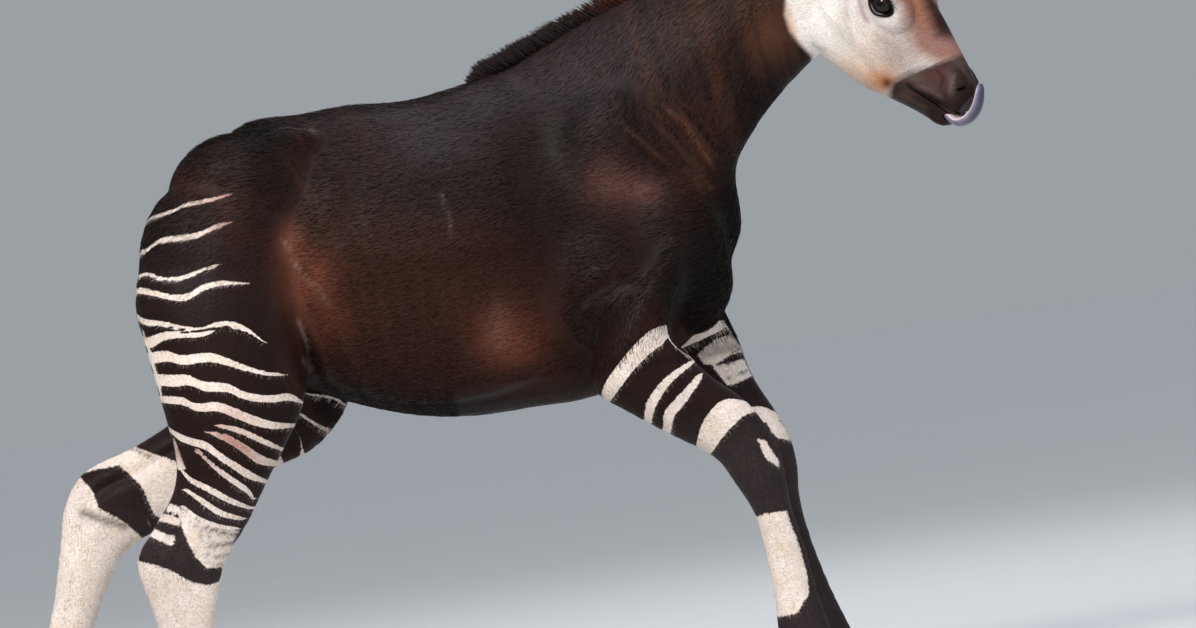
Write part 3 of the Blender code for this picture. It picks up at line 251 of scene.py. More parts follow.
# Stripes of the thigh, from the top down, as places in the photograph with a half width and a
# redness: (across, down, half width, red).
THIGH_SIDE = -0.150
THIGH_STRIPES = [
    [(166, 214, 1.8, 0.0), (183, 205, 1.8, 0.1), (203, 201, 1.5, 0.5), (229, 194, 0.8, 1.0)],
    [(145, 251, 2.4, 0.0), (157, 241, 2.4, 0.0), (177, 238, 2.2, 0.0), (197, 235, 2.2, 0.1),
     (214, 227, 1.8, 0.5), (230, 222, 0.8, 1.0)],
    [(138, 276, 1.6, 0.0), (146, 274, 1.6, 0.0), (160, 279, 1.6, 0.0), (181, 278, 1.8, 0.0),
     (200, 271, 1.4, 0.1), (219, 265, 0.6, 0.4)],
    [(134, 290, 3.0, 0.0), (149, 292, 2.8, 0.0), (169, 297, 2.6, 0.0), (187, 297, 3.0, 0.0),
     (200, 289, 2.6, 0.0), (220, 283, 2.0, 0.0), (246, 283, 0.9, 0.2)],
    [(136, 316, 3.2, 0.0), (143, 322, 3.0, 0.0), (163, 324, 2.4, 0.0), (180, 328, 2.4, 0.0),
     (200, 331, 2.8, 0.0), (217, 326, 3.4, 0.0), (234, 326, 3.6, 0.0), (249, 332, 2.8, 0.0),
     (263, 343, 1.4, 0.0)],
    [(137, 337, 5.0, 0.0), (146, 343, 6.0, 0.0), (160, 337, 4.2, 0.0), (177, 334, 3.6, 0.0),
     (200, 334, 2.6, 0.0), (214, 330, 1.0, 0.0)],
    [(147, 359, 5.0, 0.0), (166, 356, 5.2, 0.0), (183, 360, 4.6, 0.0), (209, 357, 4.6, 0.0),
     (229, 362, 4.0, 0.0), (251, 369, 3.4, 0.0), (269, 373, 2.8, 0.1), (286, 374, 1.2, 0.3)],
    [(158, 380, 5.4, 0.0), (174, 381, 5.6, 0.0), (189, 380, 5.0, 0.0), (203, 386, 4.8, 0.0),
     (229, 388, 4.4, 0.0), (243, 395, 4.0, 0.0), (269, 399, 4.0, 0.0), (289, 397, 4.6, 0.0),
     (301, 403, 1.6, 0.0)],
    [(164, 402, 5.0, 0.0), (183, 403, 5.2, 0.0), (197, 409, 5.0, 0.0), (217, 407, 5.0, 0.1),
     (234, 413, 5.8, 0.4), (254, 421, 5.6, 0.2), (274, 426, 4.4, 0.0), (292, 426, 2.6, 0.0)],
    [(219, 426, 1.4, 0.5), (240, 431, 2.4, 0.3), (260, 440, 2.6, 0.1), (285, 452, 1.6, 0.0)],
    [(209, 431, 1.8, 0.6), (229, 439, 4.6, 1.0), (246, 450, 5.4, 0.9), (260, 460, 5.4, 0.4),
     (281, 466, 2.2, 0.1)],
    [(161, 424, 3.4, 0.0), (174, 434, 6.8, 0.0), (189, 441, 6.8, 0.0), (206, 446, 5.6, 0.0),
     (220, 457, 4.6, 0.0), (234, 466, 4.2, 0.0), (249, 476, 3.8, 0.0), (266, 483, 1.8, 0.0)],
    [(197, 451, 1.4, 0.8), (214, 467, 2.8, 0.5), (231, 480, 3.2, 0.0), (246, 491, 3.0, 0.0),
     (252, 500, 1.8, 0.0)],
    [(177, 466, 2.8, 0.0), (189, 480, 4.0, 0.0), (209, 490, 4.0, 0.0), (229, 501, 3.2, 0.0),
     (249, 509, 2.0, 0.0)],
    [(184, 490, 2.2, 0.0), (203, 503, 3.2, 0.0), (220, 514, 3.6, 0.0), (241, 520, 2.2, 0.0)],
    [(181, 507, 1.8, 0.0), (197, 519, 2.4, 0.0), (217, 527, 2.6, 0.0), (235, 530, 2.0, 0.0)],
]
# White and dark fields of the near hind leg, as outlines in the photograph.
HIND_WHITE = [
    [(126, 300), (142, 330), (152, 356), (160, 385), (163, 412), (162, 430), (174, 440), (186, 470),
     (168, 470), (152, 432), (140, 400), (124, 350)],
    [(181, 509), (200, 520), (220, 530), (238, 531), (231, 546), (222, 568), (206, 569), (194, 556),
     (184, 535), (178, 516)],
    [(160, 501), (181, 508), (180, 515), (158, 509)],
    [(156, 512), (180, 519), (181, 527), (152, 520)],
    [(148, 528), (174, 537), (173, 547), (145, 536)],
    [(120, 562), (137, 562), (157, 566), (174, 573), (191, 583), (206, 586), (232, 580), (240, 800),
     (60, 800)],
]
# The inner side of the far hind leg.
HIND_INNER_SIDE = 0.045
HIND_INNER_WHITE = [
    [(60, 462), (107, 457), (128, 446), (146, 452), (176, 462), (190, 520), (158, 519), (152, 513),
     (141, 487), (118, 466), (96, 470), (70, 476)],
    [(20, 470), (75, 475), (90, 490), (98, 508), (122, 522), (134, 532), (142, 542), (120, 700),
     (0, 760)],
]
FORE_SIDE = -0.140
FORE_STRIPES = [
    [(604, 402, 5.0, 0.0), (612, 386, 10.0, 0.0), (630, 362, 12.0, 0.0), (646, 346, 12.0, 0.0),
     (662, 336, 9.0, 0.0)],
    [(648, 422, 2.6, 0.0), (652, 404, 3.4, 0.0), (668, 381, 3.2, 0.0), (694, 361, 2.2, 0.0)],
    [(667, 430, 3.0, 0.0), (669, 414, 3.8, 0.0), (682, 398, 3.4, 0.0), (700, 376, 2.4, 0.0)],
    [(704, 450, 11.0, 0.0), (714, 427, 12.0, 0.0), (733, 407, 11.0, 0.0), (756, 406, 4.0, 0.0)],
]
FORE_WHITE = [
    [(757, 438), (766, 441), (780, 462), (779, 468), (766, 459)],
    [(752, 520), (766, 514), (787, 511), (800, 546), (808, 575), (810, 595), (804, 603), (797, 616),
     (796, 640), (760, 640)],
]
FORE_FETLOCK = 10.4       # row of the leg below which it is dark
HIND_FETLOCK = 12.2
HIND_MATCH = ([0.0, 5.0, 10.0, 12.0, 18.0], [0.0, 5.0, 8.0, 10.0, 16.0])

# Base colours of the coat; in the tones of the trunk and legs, DARK is also painted shade and GREY painted sheen,
# and the rose tone is painted sheen.
MAROON = (0.0150, 0.0058, 0.0044)
DARK = (0.0034, 0.0024, 0.0022)
RED = (0.1050, 0.0270, 0.0130)
RUST = (0.0900, 0.0330, 0.0170)
ROSE_SHEEN = (0.1600, 0.0700, 0.0580)
BRIGHT_RED = (0.1800, 0.0550, 0.0300)
GREY = (0.0420, 0.0320, 0.0330)
PALE_SCAR = (0.3000, 0.1900, 0.1500)
CHEEK = (0.800, 0.740, 0.690)
CHEEK_WARM = (0.720, 0.520, 0.400)
CHEEK_GREY = (0.400, 0.310, 0.290)
BRIDGE = (0.270, 0.135, 0.110)
BRIDGE_DARK = (0.024, 0.0085, 0.0060)
BRIDGE_ORANGE = (0.240, 0.095, 0.045)
LID_DARK = (0.120, 0.080, 0.085)
MAUVE = (0.300, 0.190, 0.210)
EYE_SKIN = (0.0050, 0.0040, 0.0042)
MUZZLE = (0.022, 0.0105, 0.0090)
MUZZLE_GREY = (0.120, 0.078, 0.066)
MUZZLE_RED = (0.085, 0.030, 0.024)
TAN = (0.520, 0.215, 0.085)
TAN_DARK = (0.110, 0.030, 0.014)
CUP = (0.300, 0.210, 0.170)

# Soft tones of the trunk and neck: place in the photograph, reach in pixels, colour, amount.
# The grey tones are painted sheen and the dark tones painted shade; the reds, rusts and pale scars are the coat's
# own colour.
BODY_TONES = [
    ((390, 280), (90, 80), RED, 0.16), ((500, 300), (60, 60), RED, 0.12), ((430, 140), (46, 26), GREY, 0.70),
    ((345, 118), (36, 10), GREY, 0.35), ((276, 122), (26, 8), GREY, 0.45), ((395, 112), (30, 10), GREY, 0.50),
    ((484, 100), (36, 22), GREY, 0.60), ((545, 80), (40, 34), GREY, 0.35), ((590, 90), (26, 50), GREY, 0.34),
    ((650, 50), (60, 46), GREY, 0.35), ((700, 24), (36, 34), RUST, 0.22), ((768, 36), (22, 30), RUST, 0.85),
    # Painted sheen on the point of the shoulder.
    ((606, 182), (20, 20), ROSE_SHEEN, 0.60), ((641, 190), (18, 13), ROSE_SHEEN, 0.66),
    ((700, 148), (26, 40), RUST, 0.30),
    ((292, 246), (13, 18), BRIGHT_RED, 0.70), ((308, 284), (22, 26), BRIGHT_RED, 0.85),
    ((334, 322), (22, 18), RED, 0.55),
    ((506, 338), (26, 24), BRIGHT_RED, 0.60), ((518, 350), (14, 12), BRIGHT_RED, 0.45),
    ((498, 326), (10, 20), PALE_SCAR, 0.12), ((545, 340), (16, 30), RED, 0.30),
    ((190, 262), (30, 40), GREY, 0.22),
    ((196, 184), (20, 16), RED, 0.30), ((232, 200), (20, 34), RED, 0.22), ((660, 330), (26, 16), RED, 0.16),
    # Painted shade: darker at the throat, chest, elbow, underside of the belly, croup, rump, ribs, behind the hip
    # and shoulder, and on the thigh.
    ((790, 92), (36, 34), DARK, 0.80), ((735, 236), (22, 74), DARK, 0.95), ((700, 280), (40, 50), DARK, 0.75),
    ((180, 270), (40, 70), DARK, 0.35), ((345, 396), (30, 10), DARK, 0.80),
    ((450, 412), (110, 10), DARK, 0.80),
    ((262, 170), (22, 46), DARK, 0.45), ((600, 318), (30, 20), DARK, 0.55),
    ((560, 230), (36, 60), DARK, 0.30),
    ((262, 330), (26, 60), DARK, 0.45), ((255, 132), (12, 10), DARK, 0.5), ((330, 165), (40, 26), DARK, 0.30),
    ((216, 168), (34, 30), DARK, 0.55), ((268, 134), (22, 12), DARK, 0.85),
    ((432, 192), (56, 24), DARK, 0.55),
    ((520, 200), (40, 60), DARK, 0.30), ((560, 140), (24, 24), DARK, 0.35),
]
# Thin lines of the coat: line in the photograph, half width in pixels, colour, amount.
BODY_LINES = [
    ([(661, 105), (686, 126), (699, 145), (714, 168)], 3.0, RUST, 0.85),
    ([(623, 126), (642, 142), (665, 162)], 2.0, RUST, 0.45),
    ([(686, 166), (697, 180), (705, 196)], 2.0, RUST, 0.50),
    ([(697, 173), (708, 184), (716, 192)], 1.8, RUST, 0.45),
    ([(640, 60), (664, 92), (690, 112)], 3.0, RUST, 0.30),
    ([(720, 60), (716, 100), (722, 140)], 4.0, RUST, 0.30),
    ([(281, 239), (291, 250)], 1.4, PALE_SCAR, 0.50),
    ([(291, 259), (303, 272), (314, 286)], 1.5, PALE_SCAR, 0.50),
    ([(311, 280), (322, 292), (329, 306)], 1.3, PALE_SCAR, 0.36),
    ([(441, 190), (448, 214), (455, 240)], 1.3, PALE_SCAR, 0.22),
    ([(297, 317), (304, 336), (309, 351)], 2.0, PALE_SCAR, 0.34),
    ([(303, 357), (308, 366), (311, 374)], 2.0, PALE_SCAR, 0.30),
    ([(581, 312), (588, 302), (598, 293), (616, 284), (636, 280)], 2.6, GREY, 0.45),
    ([(592, 267), (600, 269)], 2.0, GREY, 0.9),
]
# The head's coat, as outlines and places in the photograph.
COLLAR = [(770, -220), (786, -60), (786, 0), (785, 15), (790, 31), (799, 43), (812, 56), (812, 400),
          (1200, 400), (1200, -220)]
CROWN = [(893, -4), (901, 8), (907, 22), (911, 38), (920, 54), (940, 64), (964, 62), (1010, 70), (1110, -220),
         (700, -220), (770, -60), (806, -48), (846, -30), (876, -20)]
MUZZLE_EDGE = [(888, 110), (890, 94), (892, 82), (901, 76), (908, 72), (923, 67), (941, 61), (956, 57),
               (970, 54),
               (1200, 20), (1200, 400), (868, 400)]
FACE_TONES = [
    ((897, 56), (22, 20), CHEEK_GREY, 0.95), ((884, 40), (14, 14), CHEEK_GREY, 0.55),
    ((856, 68), (26, 13), CHEEK_WARM, 0.75), ((843, 20), (7, 26), CHEEK_GREY, 0.35),
    ((866, 44), (14, 18), CHEEK_WARM, 0.35), ((871, 82), (13, 11), TAN, 0.50),
    ((884, 81), (13, 10), TAN, 0.95),
    ((887, 83), (4.5, 4.5), TAN_DARK, 0.95), ((862, 6), (6, 16), MAUVE, 0.40),
    ((886, 22), (9, 5), CHEEK, 0.7),
    ((790, 34), (6, 16), CHEEK_WARM, 0.60), ((905, 30), (8, 12), CHEEK_GREY, 0.60),
]
MUZZLE_TONES = [
    ((912, 77), (15, 6), MUZZLE_GREY, 0.85), ((940, 76), (11, 12), MUZZLE_RED, 0.80),
    ((951, 84), (3, 9), MUZZLE_GREY, 0.80), ((960, 63), (9, 5), MUZZLE_GREY, 0.50),
    ((925, 88), (14, 5), MUZZLE_GREY, 0.45), ((904, 96), (10, 7), MUZZLE_GREY, 0.35),
]
# Thin lines of the face and the muzzle: line in the photograph, half width in pixels, colour, amount.
FACE_LINES = [
    ([(859, -10), (860, 2), (863, 14), (869, 24)], 2.6, MAUVE, 0.50),
    ([(848, -8), (846, 10), (849, 30), (856, 46)], 3.0, CHEEK_GREY, 0.35),
    ([(872, 30), (888, 44), (903, 50)], 3.0, CHEEK_GREY, 0.40),
    ([(905, -12), (909, 6), (914, 18)], 2.4, LID_DARK, 0.55),
    ([(834, 64), (850, 72), (866, 76)], 4.0, CHEEK_WARM, 0.45),
    ([(786, 2), (789, 22), (795, 40), (806, 54)], 4.0, TAN, 0.45),
    ([(890, 72), (905, 66), (922, 60)], 5.0, CHEEK_GREY, 0.40),
]
MUZZLE_LINES = [
    ([(905, 82), (914, 90), (930, 98), (947, 107)], 2.6, DARK, 0.85),
    ([(900, 92), (912, 101), (930, 109)], 2.2, MUZZLE_GREY, 0.28),
    ([(916, 84), (930, 90), (944, 99)], 2.2, MUZZLE_GREY, 0.42),
    ([(936, 68), (943, 78), (940, 90)], 2.0, DARK, 0.55),
    ([(955, 72), (953, 82), (949, 94)], 1.8, MUZZLE_GREY, 0.50),
    ([(961, 66), (968, 76), (972, 84)], 2.0, MUZZLE_GREY, 0.30),
]
# Greyish streaks in the white of the legs: line in the photograph, half width in pixels, amount.
HIND_SOIL = [
    ([(205, 528), (222, 533), (238, 536)], 1.7, 0.95), ([(189, 519), (199, 532), (205, 547)], 1.1, 0.50),
    ([(196, 519), (209, 536), (215, 551)], 1.2, 0.45), ([(210, 546), (223, 546), (234, 542)], 1.6, 0.80),
    ([(203, 554), (215, 558), (227, 555)], 1.0, 0.60), ([(205, 563), (214, 566), (224, 565)], 1.0, 0.55),
]
HIND_INNER_SOIL = [
    ([(82, 513), (98, 519), (112, 523), (124, 527)], 4.0, 0.75),
    ([(122, 446), (138, 452), (152, 458)], 1.4, 0.85),
]
FORE_INNER_SIDE = 0.055
FORE_INNER_WHITE = [
    [(697, 355), (714, 340), (731, 334), (742, 347), (729, 356), (714, 366), (704, 364)],
    [(713, 368), (729, 363), (744, 358), (753, 376), (738, 383), (728, 386)],
    [(764, 415), (777, 418), (793, 433), (790, 441), (777, 438), (769, 428)],
]
FORE_INNER_SOIL = [
    ([(726, 364), (736, 360), (748, 356)], 1.3, 0.95), ([(728, 378), (738, 374), (750, 370)], 1.0, 0.90),
    ([(700, 358), (716, 350), (736, 345)], 5.0, 0.45),
]
COAT_NOISE_SEED = 17


def photo_place(across, down, y):
    """The place (x, z) of a pixel of the photograph on the plane at y."""
    size = PHOTO_SCALE * (CAMERA_AWAY + y) / CAMERA_AWAY
    u = across - PHOTO_MIDDLE[0]
    v = PHOTO_MIDDLE[1] - down
    c, s = math.cos(math.radians(CAMERA_ROLL)), math.sin(math.radians(CAMERA_ROLL))
    return size * (u * c + v * s), CAMERA_HEIGHT + size * (v * c - u * s)


def photo_of(points):
    """The photograph's (across, down) of each point."""
    away = (CAMERA_AWAY + points[:, 1]) * PHOTO_SCALE / CAMERA_AWAY
    c, s = math.cos(math.radians(CAMERA_ROLL)), math.sin(math.radians(CAMERA_ROLL))
    x = points[:, 0] / away
    z = (points[:, 2] - CAMERA_HEIGHT) / away
    return np.stack([PHOTO_MIDDLE[0] + x * c - z * s, PHOTO_MIDDLE[1] - x * s - z * c], axis=1)


def head_matrix():
    left = HEAD_UP.cross(HEAD_AHEAD).normalized()
    up = HEAD_AHEAD.cross(left).normalized()
    ahead = HEAD_AHEAD.normalized()
    turn = Matrix((ahead, left, up)).transposed().to_4x4()
    return Matrix.Translation(HEAD_ORIGIN) @ turn


HEAD = head_matrix()
HEAD_TURN = np.array(HEAD.to_3x3())
HEAD_MIDDLE = np.array(HEAD_ORIGIN)


def head_local(points):
    return (points - HEAD_MIDDLE) @ HEAD_TURN


def head_world(points):
    return np.asarray(points) @ HEAD_TURN.T + HEAD_MIDDLE


def smooth(value, low, high):
    t = np.clip((value - low) / (high - low), 0.0, 1.0)
    return t * t * (3 - 2 * t)


def unit(rows):
    return rows / np.maximum(np.linalg.norm(rows, axis=-1, keepdims=True), 1e-9)


def curve_rows(rows, span):
    """Rows of numbers are joined by a smooth curve through all of them."""
    rows = np.array(rows, dtype=float)
    ends = np.vstack([2 * rows[0] - rows[1], rows, 2 * rows[-1] - rows[-2]])
    out = []
    for i in range(1, len(ends) - 2):
        before, here, ahead, beyond = ends[i - 1], ends[i], ends[i + 1], ends[i + 2]
        for k in range(span):
            t = k / span
            bend = (2 * before - 5 * here + 4 * ahead - beyond) * t * t
            twist = (3 * here - before - 3 * ahead + beyond) * t * t * t
            out.append(0.5 * (2 * here + (ahead - before) * t + bend + twist))
    out.append(ends[-2])
    return np.array(out)


def section_table(sections, span):
    rows = []
    for upper, lower, y, half, pinch in sections:
        rows.append((upper[0], upper[1], lower[0], lower[1], y, half, pinch))
    return curve_rows(rows, span)


def loft_mesh(rings, folded=False):
    """Rings of points (count, points, 3) become a closed tube. A folded ring is a line out and back."""
    count, points = rings.shape[0], rings.shape[1]
    verts = [tuple(p) for p in rings.reshape(-1, 3)]
    faces = []
    for i in range(count - 1):
        for j in range(points):
            k = (j + 1) % points
            faces.append((i * points + j, i * points + k, (i + 1) * points + k, (i + 1) * points + j))
    if folded:
        for base in (0, (count - 1) * points):
            for j in range(points // 2 - 1):
                faces.append((base + j, base + j + 1, base + points - 2 - j, base + points - 1 - j))
        return verts, faces
    first = len(verts)
    verts.append(tuple(rings[0].mean(axis=0)))
    verts.append(tuple(rings[-1].mean(axis=0)))
    for j in range(points):
        k = (j + 1) % points
        faces.append((first, k, j))
        base = (count - 1) * points
        faces.append((first + 1, base + j, base + k))
    return verts, faces


def section_rings(sections, span=SPAN, ring=RING):
    angle = np.linspace(0, 2 * math.pi, ring, endpoint=False)
    rings = []
    for ux, uz, lx, lz, y, half, pinch in section_table(sections, span):
        along = np.cos(angle)
        width = half * np.sin(angle) * (1 - pinch * np.clip(along, 0, 1) ** 1.3)
        x = (ux + lx) / 2 + along * (ux - lx) / 2
        z = (uz + lz) / 2 + along * (uz - lz) / 2
        rings.append(np.stack([x, y + width, z], axis=1))
    return np.array(rings)


def ellipsoid_rings(middle, radii, turn, ring=24, rows=14):
    levels = np.linspace(0.03, math.pi - 0.03, rows)
    angle = np.linspace(0, 2 * math.pi, ring, endpoint=False)
    c, s = math.cos(math.radians(turn)), math.sin(math.radians(turn))
    rings = []
    for level in levels:
        x = radii[0] * math.sin(level) * np.cos(angle)
        y = radii[1] * math.sin(level) * np.sin(angle)
        z = np.full(ring, -radii[2] * math.cos(level))
        rings.append(np.stack([middle[0] + c * x + s * z, middle[1] + y, middle[2] - s * x + c * z], axis=1))
    return np.array(rings)


def object_of(name, verts, faces):
    mesh = bpy.data.meshes.new(name)
    mesh.from_pydata(verts, [], faces)
    mesh.update()
    made = bpy.data.objects.new(name, mesh)
    bpy.context.scene.collection.objects.link(made)
    outward(made)
    return made


def outward(obj):
    work = bmesh.new()
    work.from_mesh(obj.data)
    bmesh.ops.recalc_face_normals(work, faces=work.faces)
    if work.calc_volume(signed=True) < 0:
        bmesh.ops.reverse_faces(work, faces=work.faces)
    work.to_mesh(obj.data)
    work.free()


def remove(obj):
    mesh = obj.data
    bpy.data.objects.remove(obj, do_unlink=True)
    bpy.data.meshes.remove(mesh)


def settle(obj):
    bpy.context.view_layer.update()
    graph = bpy.context.evaluated_depsgraph_get()
    baked = bpy.data.meshes.new_from_object(obj.evaluated_get(graph))
    old = obj.data
    obj.modifiers.clear()
    obj.data = baked
    bpy.data.meshes.remove(old)


def points_of(mesh):
    out = np.empty(len(mesh.vertices) * 3)
    mesh.vertices.foreach_get("co", out)
    return out.reshape(-1, 3)


def normals_of(mesh):
    out = np.empty(len(mesh.vertices) * 3)
    mesh.vertices.foreach_get("normal", out)
    return out.reshape(-1, 3)


def set_points(mesh, points):
    mesh.vertices.foreach_set("co", np.ascontiguousarray(points).ravel())
    mesh.update()


def edges_of(mesh):
    edges = np.empty(len(mesh.edges) * 2, dtype=int)
    mesh.edges.foreach_get("vertices", edges)
    return edges[0::2], edges[1::2]


def relax(mesh, rounds, weight, steps=(0.55, -0.52)):
    """Evens the surface where weight is above 0."""
    points = points_of(mesh)
    count = len(points)
    a, b = edges_of(mesh)
    degree = np.maximum(np.bincount(a, minlength=count) + np.bincount(b, minlength=count), 1)
    weight = weight[:, None]
    for turn in range(rounds):
        for step in steps:
            total = np.zeros_like(points)
            for axis in range(3):
                total[:, axis] = np.bincount(a, points[b, axis], count) + np.bincount(b, points[a, axis],
                                                                                      count)
            points = points + step * weight * (total / degree[:, None] - points)
    set_points(mesh, points)


def add_piece(verts, faces, rings, matrix=None):
    if matrix is not None:
        rings = rings @ np.array(matrix.to_3x3()).T + np.array(matrix.translation)
    more_verts, more_faces = loft_mesh(rings)
    base = len(verts)
    verts.extend(more_verts)
    faces.extend([tuple(base + i for i in face) for face in more_faces])


def add_head(verts, faces):
    add_piece(verts, faces, section_rings(HEAD_SECTIONS), HEAD)
    for middle, radii, turn in HEAD_MASSES:
        for side in (-1, 1):
            add_piece(verts, faces, ellipsoid_rings((middle[0], side * middle[1], middle[2]), radii, turn),
                      HEAD)
    for side in (-1, 1):
        place = (EYE_PLACE.x, side * EYE_PLACE.y, EYE_PLACE.z)
        add_piece(verts, faces, ellipsoid_rings(place, (LID_RADIUS * 1.12, LID_RADIUS, LID_RADIUS), 0.0),
                  HEAD)


def fused(name, verts, faces, voxel):
    made = object_of(name, verts, faces)
    fuse = made.modifiers.new("fuse", "REMESH")
    fuse.mode = "VOXEL"
    fuse.voxel_size = voxel
    fuse.adaptivity = 0.0
    settle(made)
    return made


def looseness(points, least):
    local = head_local(points)
    near = 1 / (1 + np.exp(-(local[:, 0] + 0.005) / 0.012))
    near = near * (np.hypot(local[:, 1], local[:, 2]) < 0.16)
    return 1 - (1 - least) * near


def head_share(points):
    """1 on the head, 0 on the neck and trunk, with a soft change behind the cheeks."""
    local = head_local(points)
    near = smooth(local[:, 0], -0.020, 0.030)
    return near * smooth(-np.hypot(local[:, 1], local[:, 2]), -0.175, -0.150)


def refine(mesh, chosen):
    """Each face whose points are all chosen is divided in four."""
    work = bmesh.new()
    work.from_mesh(mesh)
    work.verts.ensure_lookup_table()
    edges = [e for e in work.edges if chosen[e.verts[0].index] and chosen[e.verts[1].index]]
    bmesh.ops.subdivide_edges(work, edges=edges, cuts=1, use_grid_fill=True)
    work.to_mesh(mesh)
    work.free()
    mesh.update()


def line_distance(points, line):
    """Distance of each point from a line of points, and how far along it the nearest place is."""
    best = np.full(len(points), np.inf)
    along = np.zeros(len(points))
    line = np.asarray(line, dtype=float)
    last = len(line) - 1
    for i in range(last):
        a, b = line[i], line[i + 1]
        run = b - a
        t = np.clip(((points - a) @ run) / max(run @ run, 1e-12), 0, 1)
        gap = np.linalg.norm(points - (a + t[:, None] * run), axis=1)
        nearer = gap < best
        best = np.where(nearer, gap, best)
        along = np.where(nearer, (i + t) / last, along)
    return best, along


def outline_depth(points, outline):
    """How far inside a closed outline each point lies; negative outside."""
    outline = np.asarray(outline, dtype=float)
    closed = np.vstack([outline, outline[:1]])
    gap, along = line_distance(points, closed)
    inside = np.zeros(len(points), dtype=bool)
    x, z = points[:, 0], points[:, 1]
    for i in range(len(outline)):
        x1, z1 = closed[i]
        x2, z2 = closed[i + 1]
        crosses = (z1 > z) != (z2 > z)
        height = z2 - z1 if abs(z2 - z1) > 1e-12 else 1e-12
        inside ^= crosses & (x < (x2 - x1) * (z - z1) / height + x1)
    return np.where(inside, gap, -gap)


# Folds and muscles of the body: line in the photograph, half width in metres, height in metres.
BODY_FORMS = [
    ([(262, 132), (270, 146)], 0.028, 0.0030),
    ([(318, 160), (322, 210)], 0.040, -0.0040),
    ([(298, 300), (318, 362), (329, 384), (346, 400)], 0.0085, 0.0035),
    ([(286, 300), (304, 356), (312, 380)], 0.012, -0.0045),
    ([(228, 150), (210, 210), (196, 280), (190, 350)], 0.018, -0.0024),
    ([(250, 190), (262, 250), (276, 300)], 0.026, 0.0018),
    ([(520, 130), (532, 180), (552, 235), (575, 285)], 0.024, -0.0022),
    ([(575, 120), (620, 170), (655, 225)], 0.034, 0.0012),
    ([(572, 326), (588, 304), (618, 286), (650, 284)], 0.0075, -0.0030),
    ([(566, 308), (588, 282), (620, 268), (655, 270)], 0.013, 0.0020),
    ([(662, 104), (686, 126), (700, 148), (716, 172)], 0.0042, 0.0020),
    ([(676, 100), (700, 128), (718, 152)], 0.0045, -0.0024),
    ([(650, 112), (676, 136), (698, 164)], 0.0045, -0.0018),
    ([(618, 122), (642, 144), (666, 164)], 0.0050, 0.0010),
    ([(720, 40), (716, 90), (722, 140)], 0.010, 0.0014),
    ([(742, 40), (736, 90), (734, 130)], 0.011, -0.0018),
    ([(778, 40), (792, 60), (806, 62)], 0.009, -0.0030),
]
SHOULDER_ROUNDS = 48
RIBS = 8
RIB_FIRST = (362.0, 200.0)
RIB_STEP = 19.0
RIB_HEIGHT = 0.0003


def soften_shoulder(mesh):
    """The shoulder's masses are evened further, so that they pass into each other."""
    spot = photo_of(points_of(mesh))
    share = smooth(spot[:, 0], 500, 560) * (1 - smooth(spot[:, 0], 722, 750))
    share = share * smooth(spot[:, 1], 70, 115) * (1 - smooth(spot[:, 1], 300, 340))
    relax(mesh, SHOULDER_ROUNDS, share, (0.5,))


def sculpt_body(mesh):
    """Muscles, folds and ribs are raised or sunk along the skin's normals, the same on both sides."""
    points = points_of(mesh)
    normals = normals_of(mesh)
    flat = points[:, [0, 2]]
    side = smooth(np.abs(normals[:, 1]), 0.10, 0.55) * smooth(flat[:, 1], 0.36, 0.42)
    side = side * (1 - head_share(points))
    move = np.zeros(len(points))
    forms = list(BODY_FORMS)
    for i in range(RIBS):
        top = (RIB_FIRST[0] + i * RIB_STEP, RIB_FIRST[1])
        forms.append(([top, (top[0] - 8, 270), (top[0] + 4, 350)], 0.0085, RIB_HEIGHT))
    for line, half, height in forms:
        placed = [photo_place(a, d, -0.12) for a, d in line]
        gap, along = line_distance(flat, placed)
        ends = 0.35 + 0.65 * smooth(np.minimum(along, 1 - along), 0.0, 0.2)
        move += height * ends * np.exp(-(gap / half) ** 2)
    spine, along = line_distance(points, [(-0.48, 0, 0.90), (-0.30, 0, 0.905), (-0.15, 0, 0.91),
                                          (-0.1, 0, 0.92)])
    move_spine = 0.0020 * np.exp(-(spine / 0.014) ** 2)
    chest, along = line_distance(points, [(0.20, 0, 0.60), (0.17, 0, 0.54), (0.08, 0, 0.475)])
    move_chest = -0.0060 * np.exp(-(chest / 0.014) ** 2)
    points = points + normals * (move * side + move_spine + move_chest)[:, None]
    set_points(mesh, points)


def limb_place(flat, rows):
    """Row (a fraction) and share across from front to back, for places (x, z) beside a limb."""
    front, back = rows[:, 0:2], rows[:, 2:4]
    middle = (front + back) / 2
    run = back - front
    width = np.linalg.norm(run, axis=1)
    step = np.gradient(middle, axis=0)
    normal = np.stack([-run[:, 1], run[:, 0]], axis=1) / width[:, None]
    normal *= np.sign((normal * step).sum(axis=1))[:, None]
    row = np.zeros(len(flat))
    share = np.zeros(len(flat))
    miss = np.zeros(len(flat))
    for start in range(0, len(flat), 20000):
        part = flat[start:start + 20000]
        reach = (part[:, None, :] - middle[None]) * normal[None]
        reach = reach.sum(axis=2)
        across = ((part[:, None, :] - front[None]) * run[None]).sum(axis=2) / (width ** 2)[None]
        between = (reach[:, :-1] >= 0) & (reach[:, 1:] < 0)
        t = reach[:, :-1] / np.where(between, reach[:, :-1] - reach[:, 1:], 1.0)
        v = across[:, :-1] * (1 - t) + across[:, 1:] * t
        cost = np.where(between, np.abs(v - 0.5) * width[None, :-1], 9.0)
        best = cost.argmin(axis=1)
        index = np.arange(len(part))
        found = cost[index, best] < 9.0
        ends = np.where(reach[:, 0] < 0, 0, len(rows) - 1)
        row[start:start + 20000] = np.where(found, best + t[index, best], ends)
        share[start:start + 20000] = np.where(found, v[index, best], across[index, ends])
        miss[start:start + 20000] = np.where(found, 0.0,
                                             np.minimum(np.abs(reach[:, 0]), np.abs(reach[:, -1])))
    return row, share, miss


LIMB_SPAN = 6
LIMBS = {
    "fore_right": section_table(FORE_RIGHT, LIMB_SPAN), "fore_left": section_table(FORE_LEFT, LIMB_SPAN),
    "hind_right": section_table(HIND_RIGHT, LIMB_SPAN), "hind_left": section_table(HIND_LEFT, LIMB_SPAN),
}


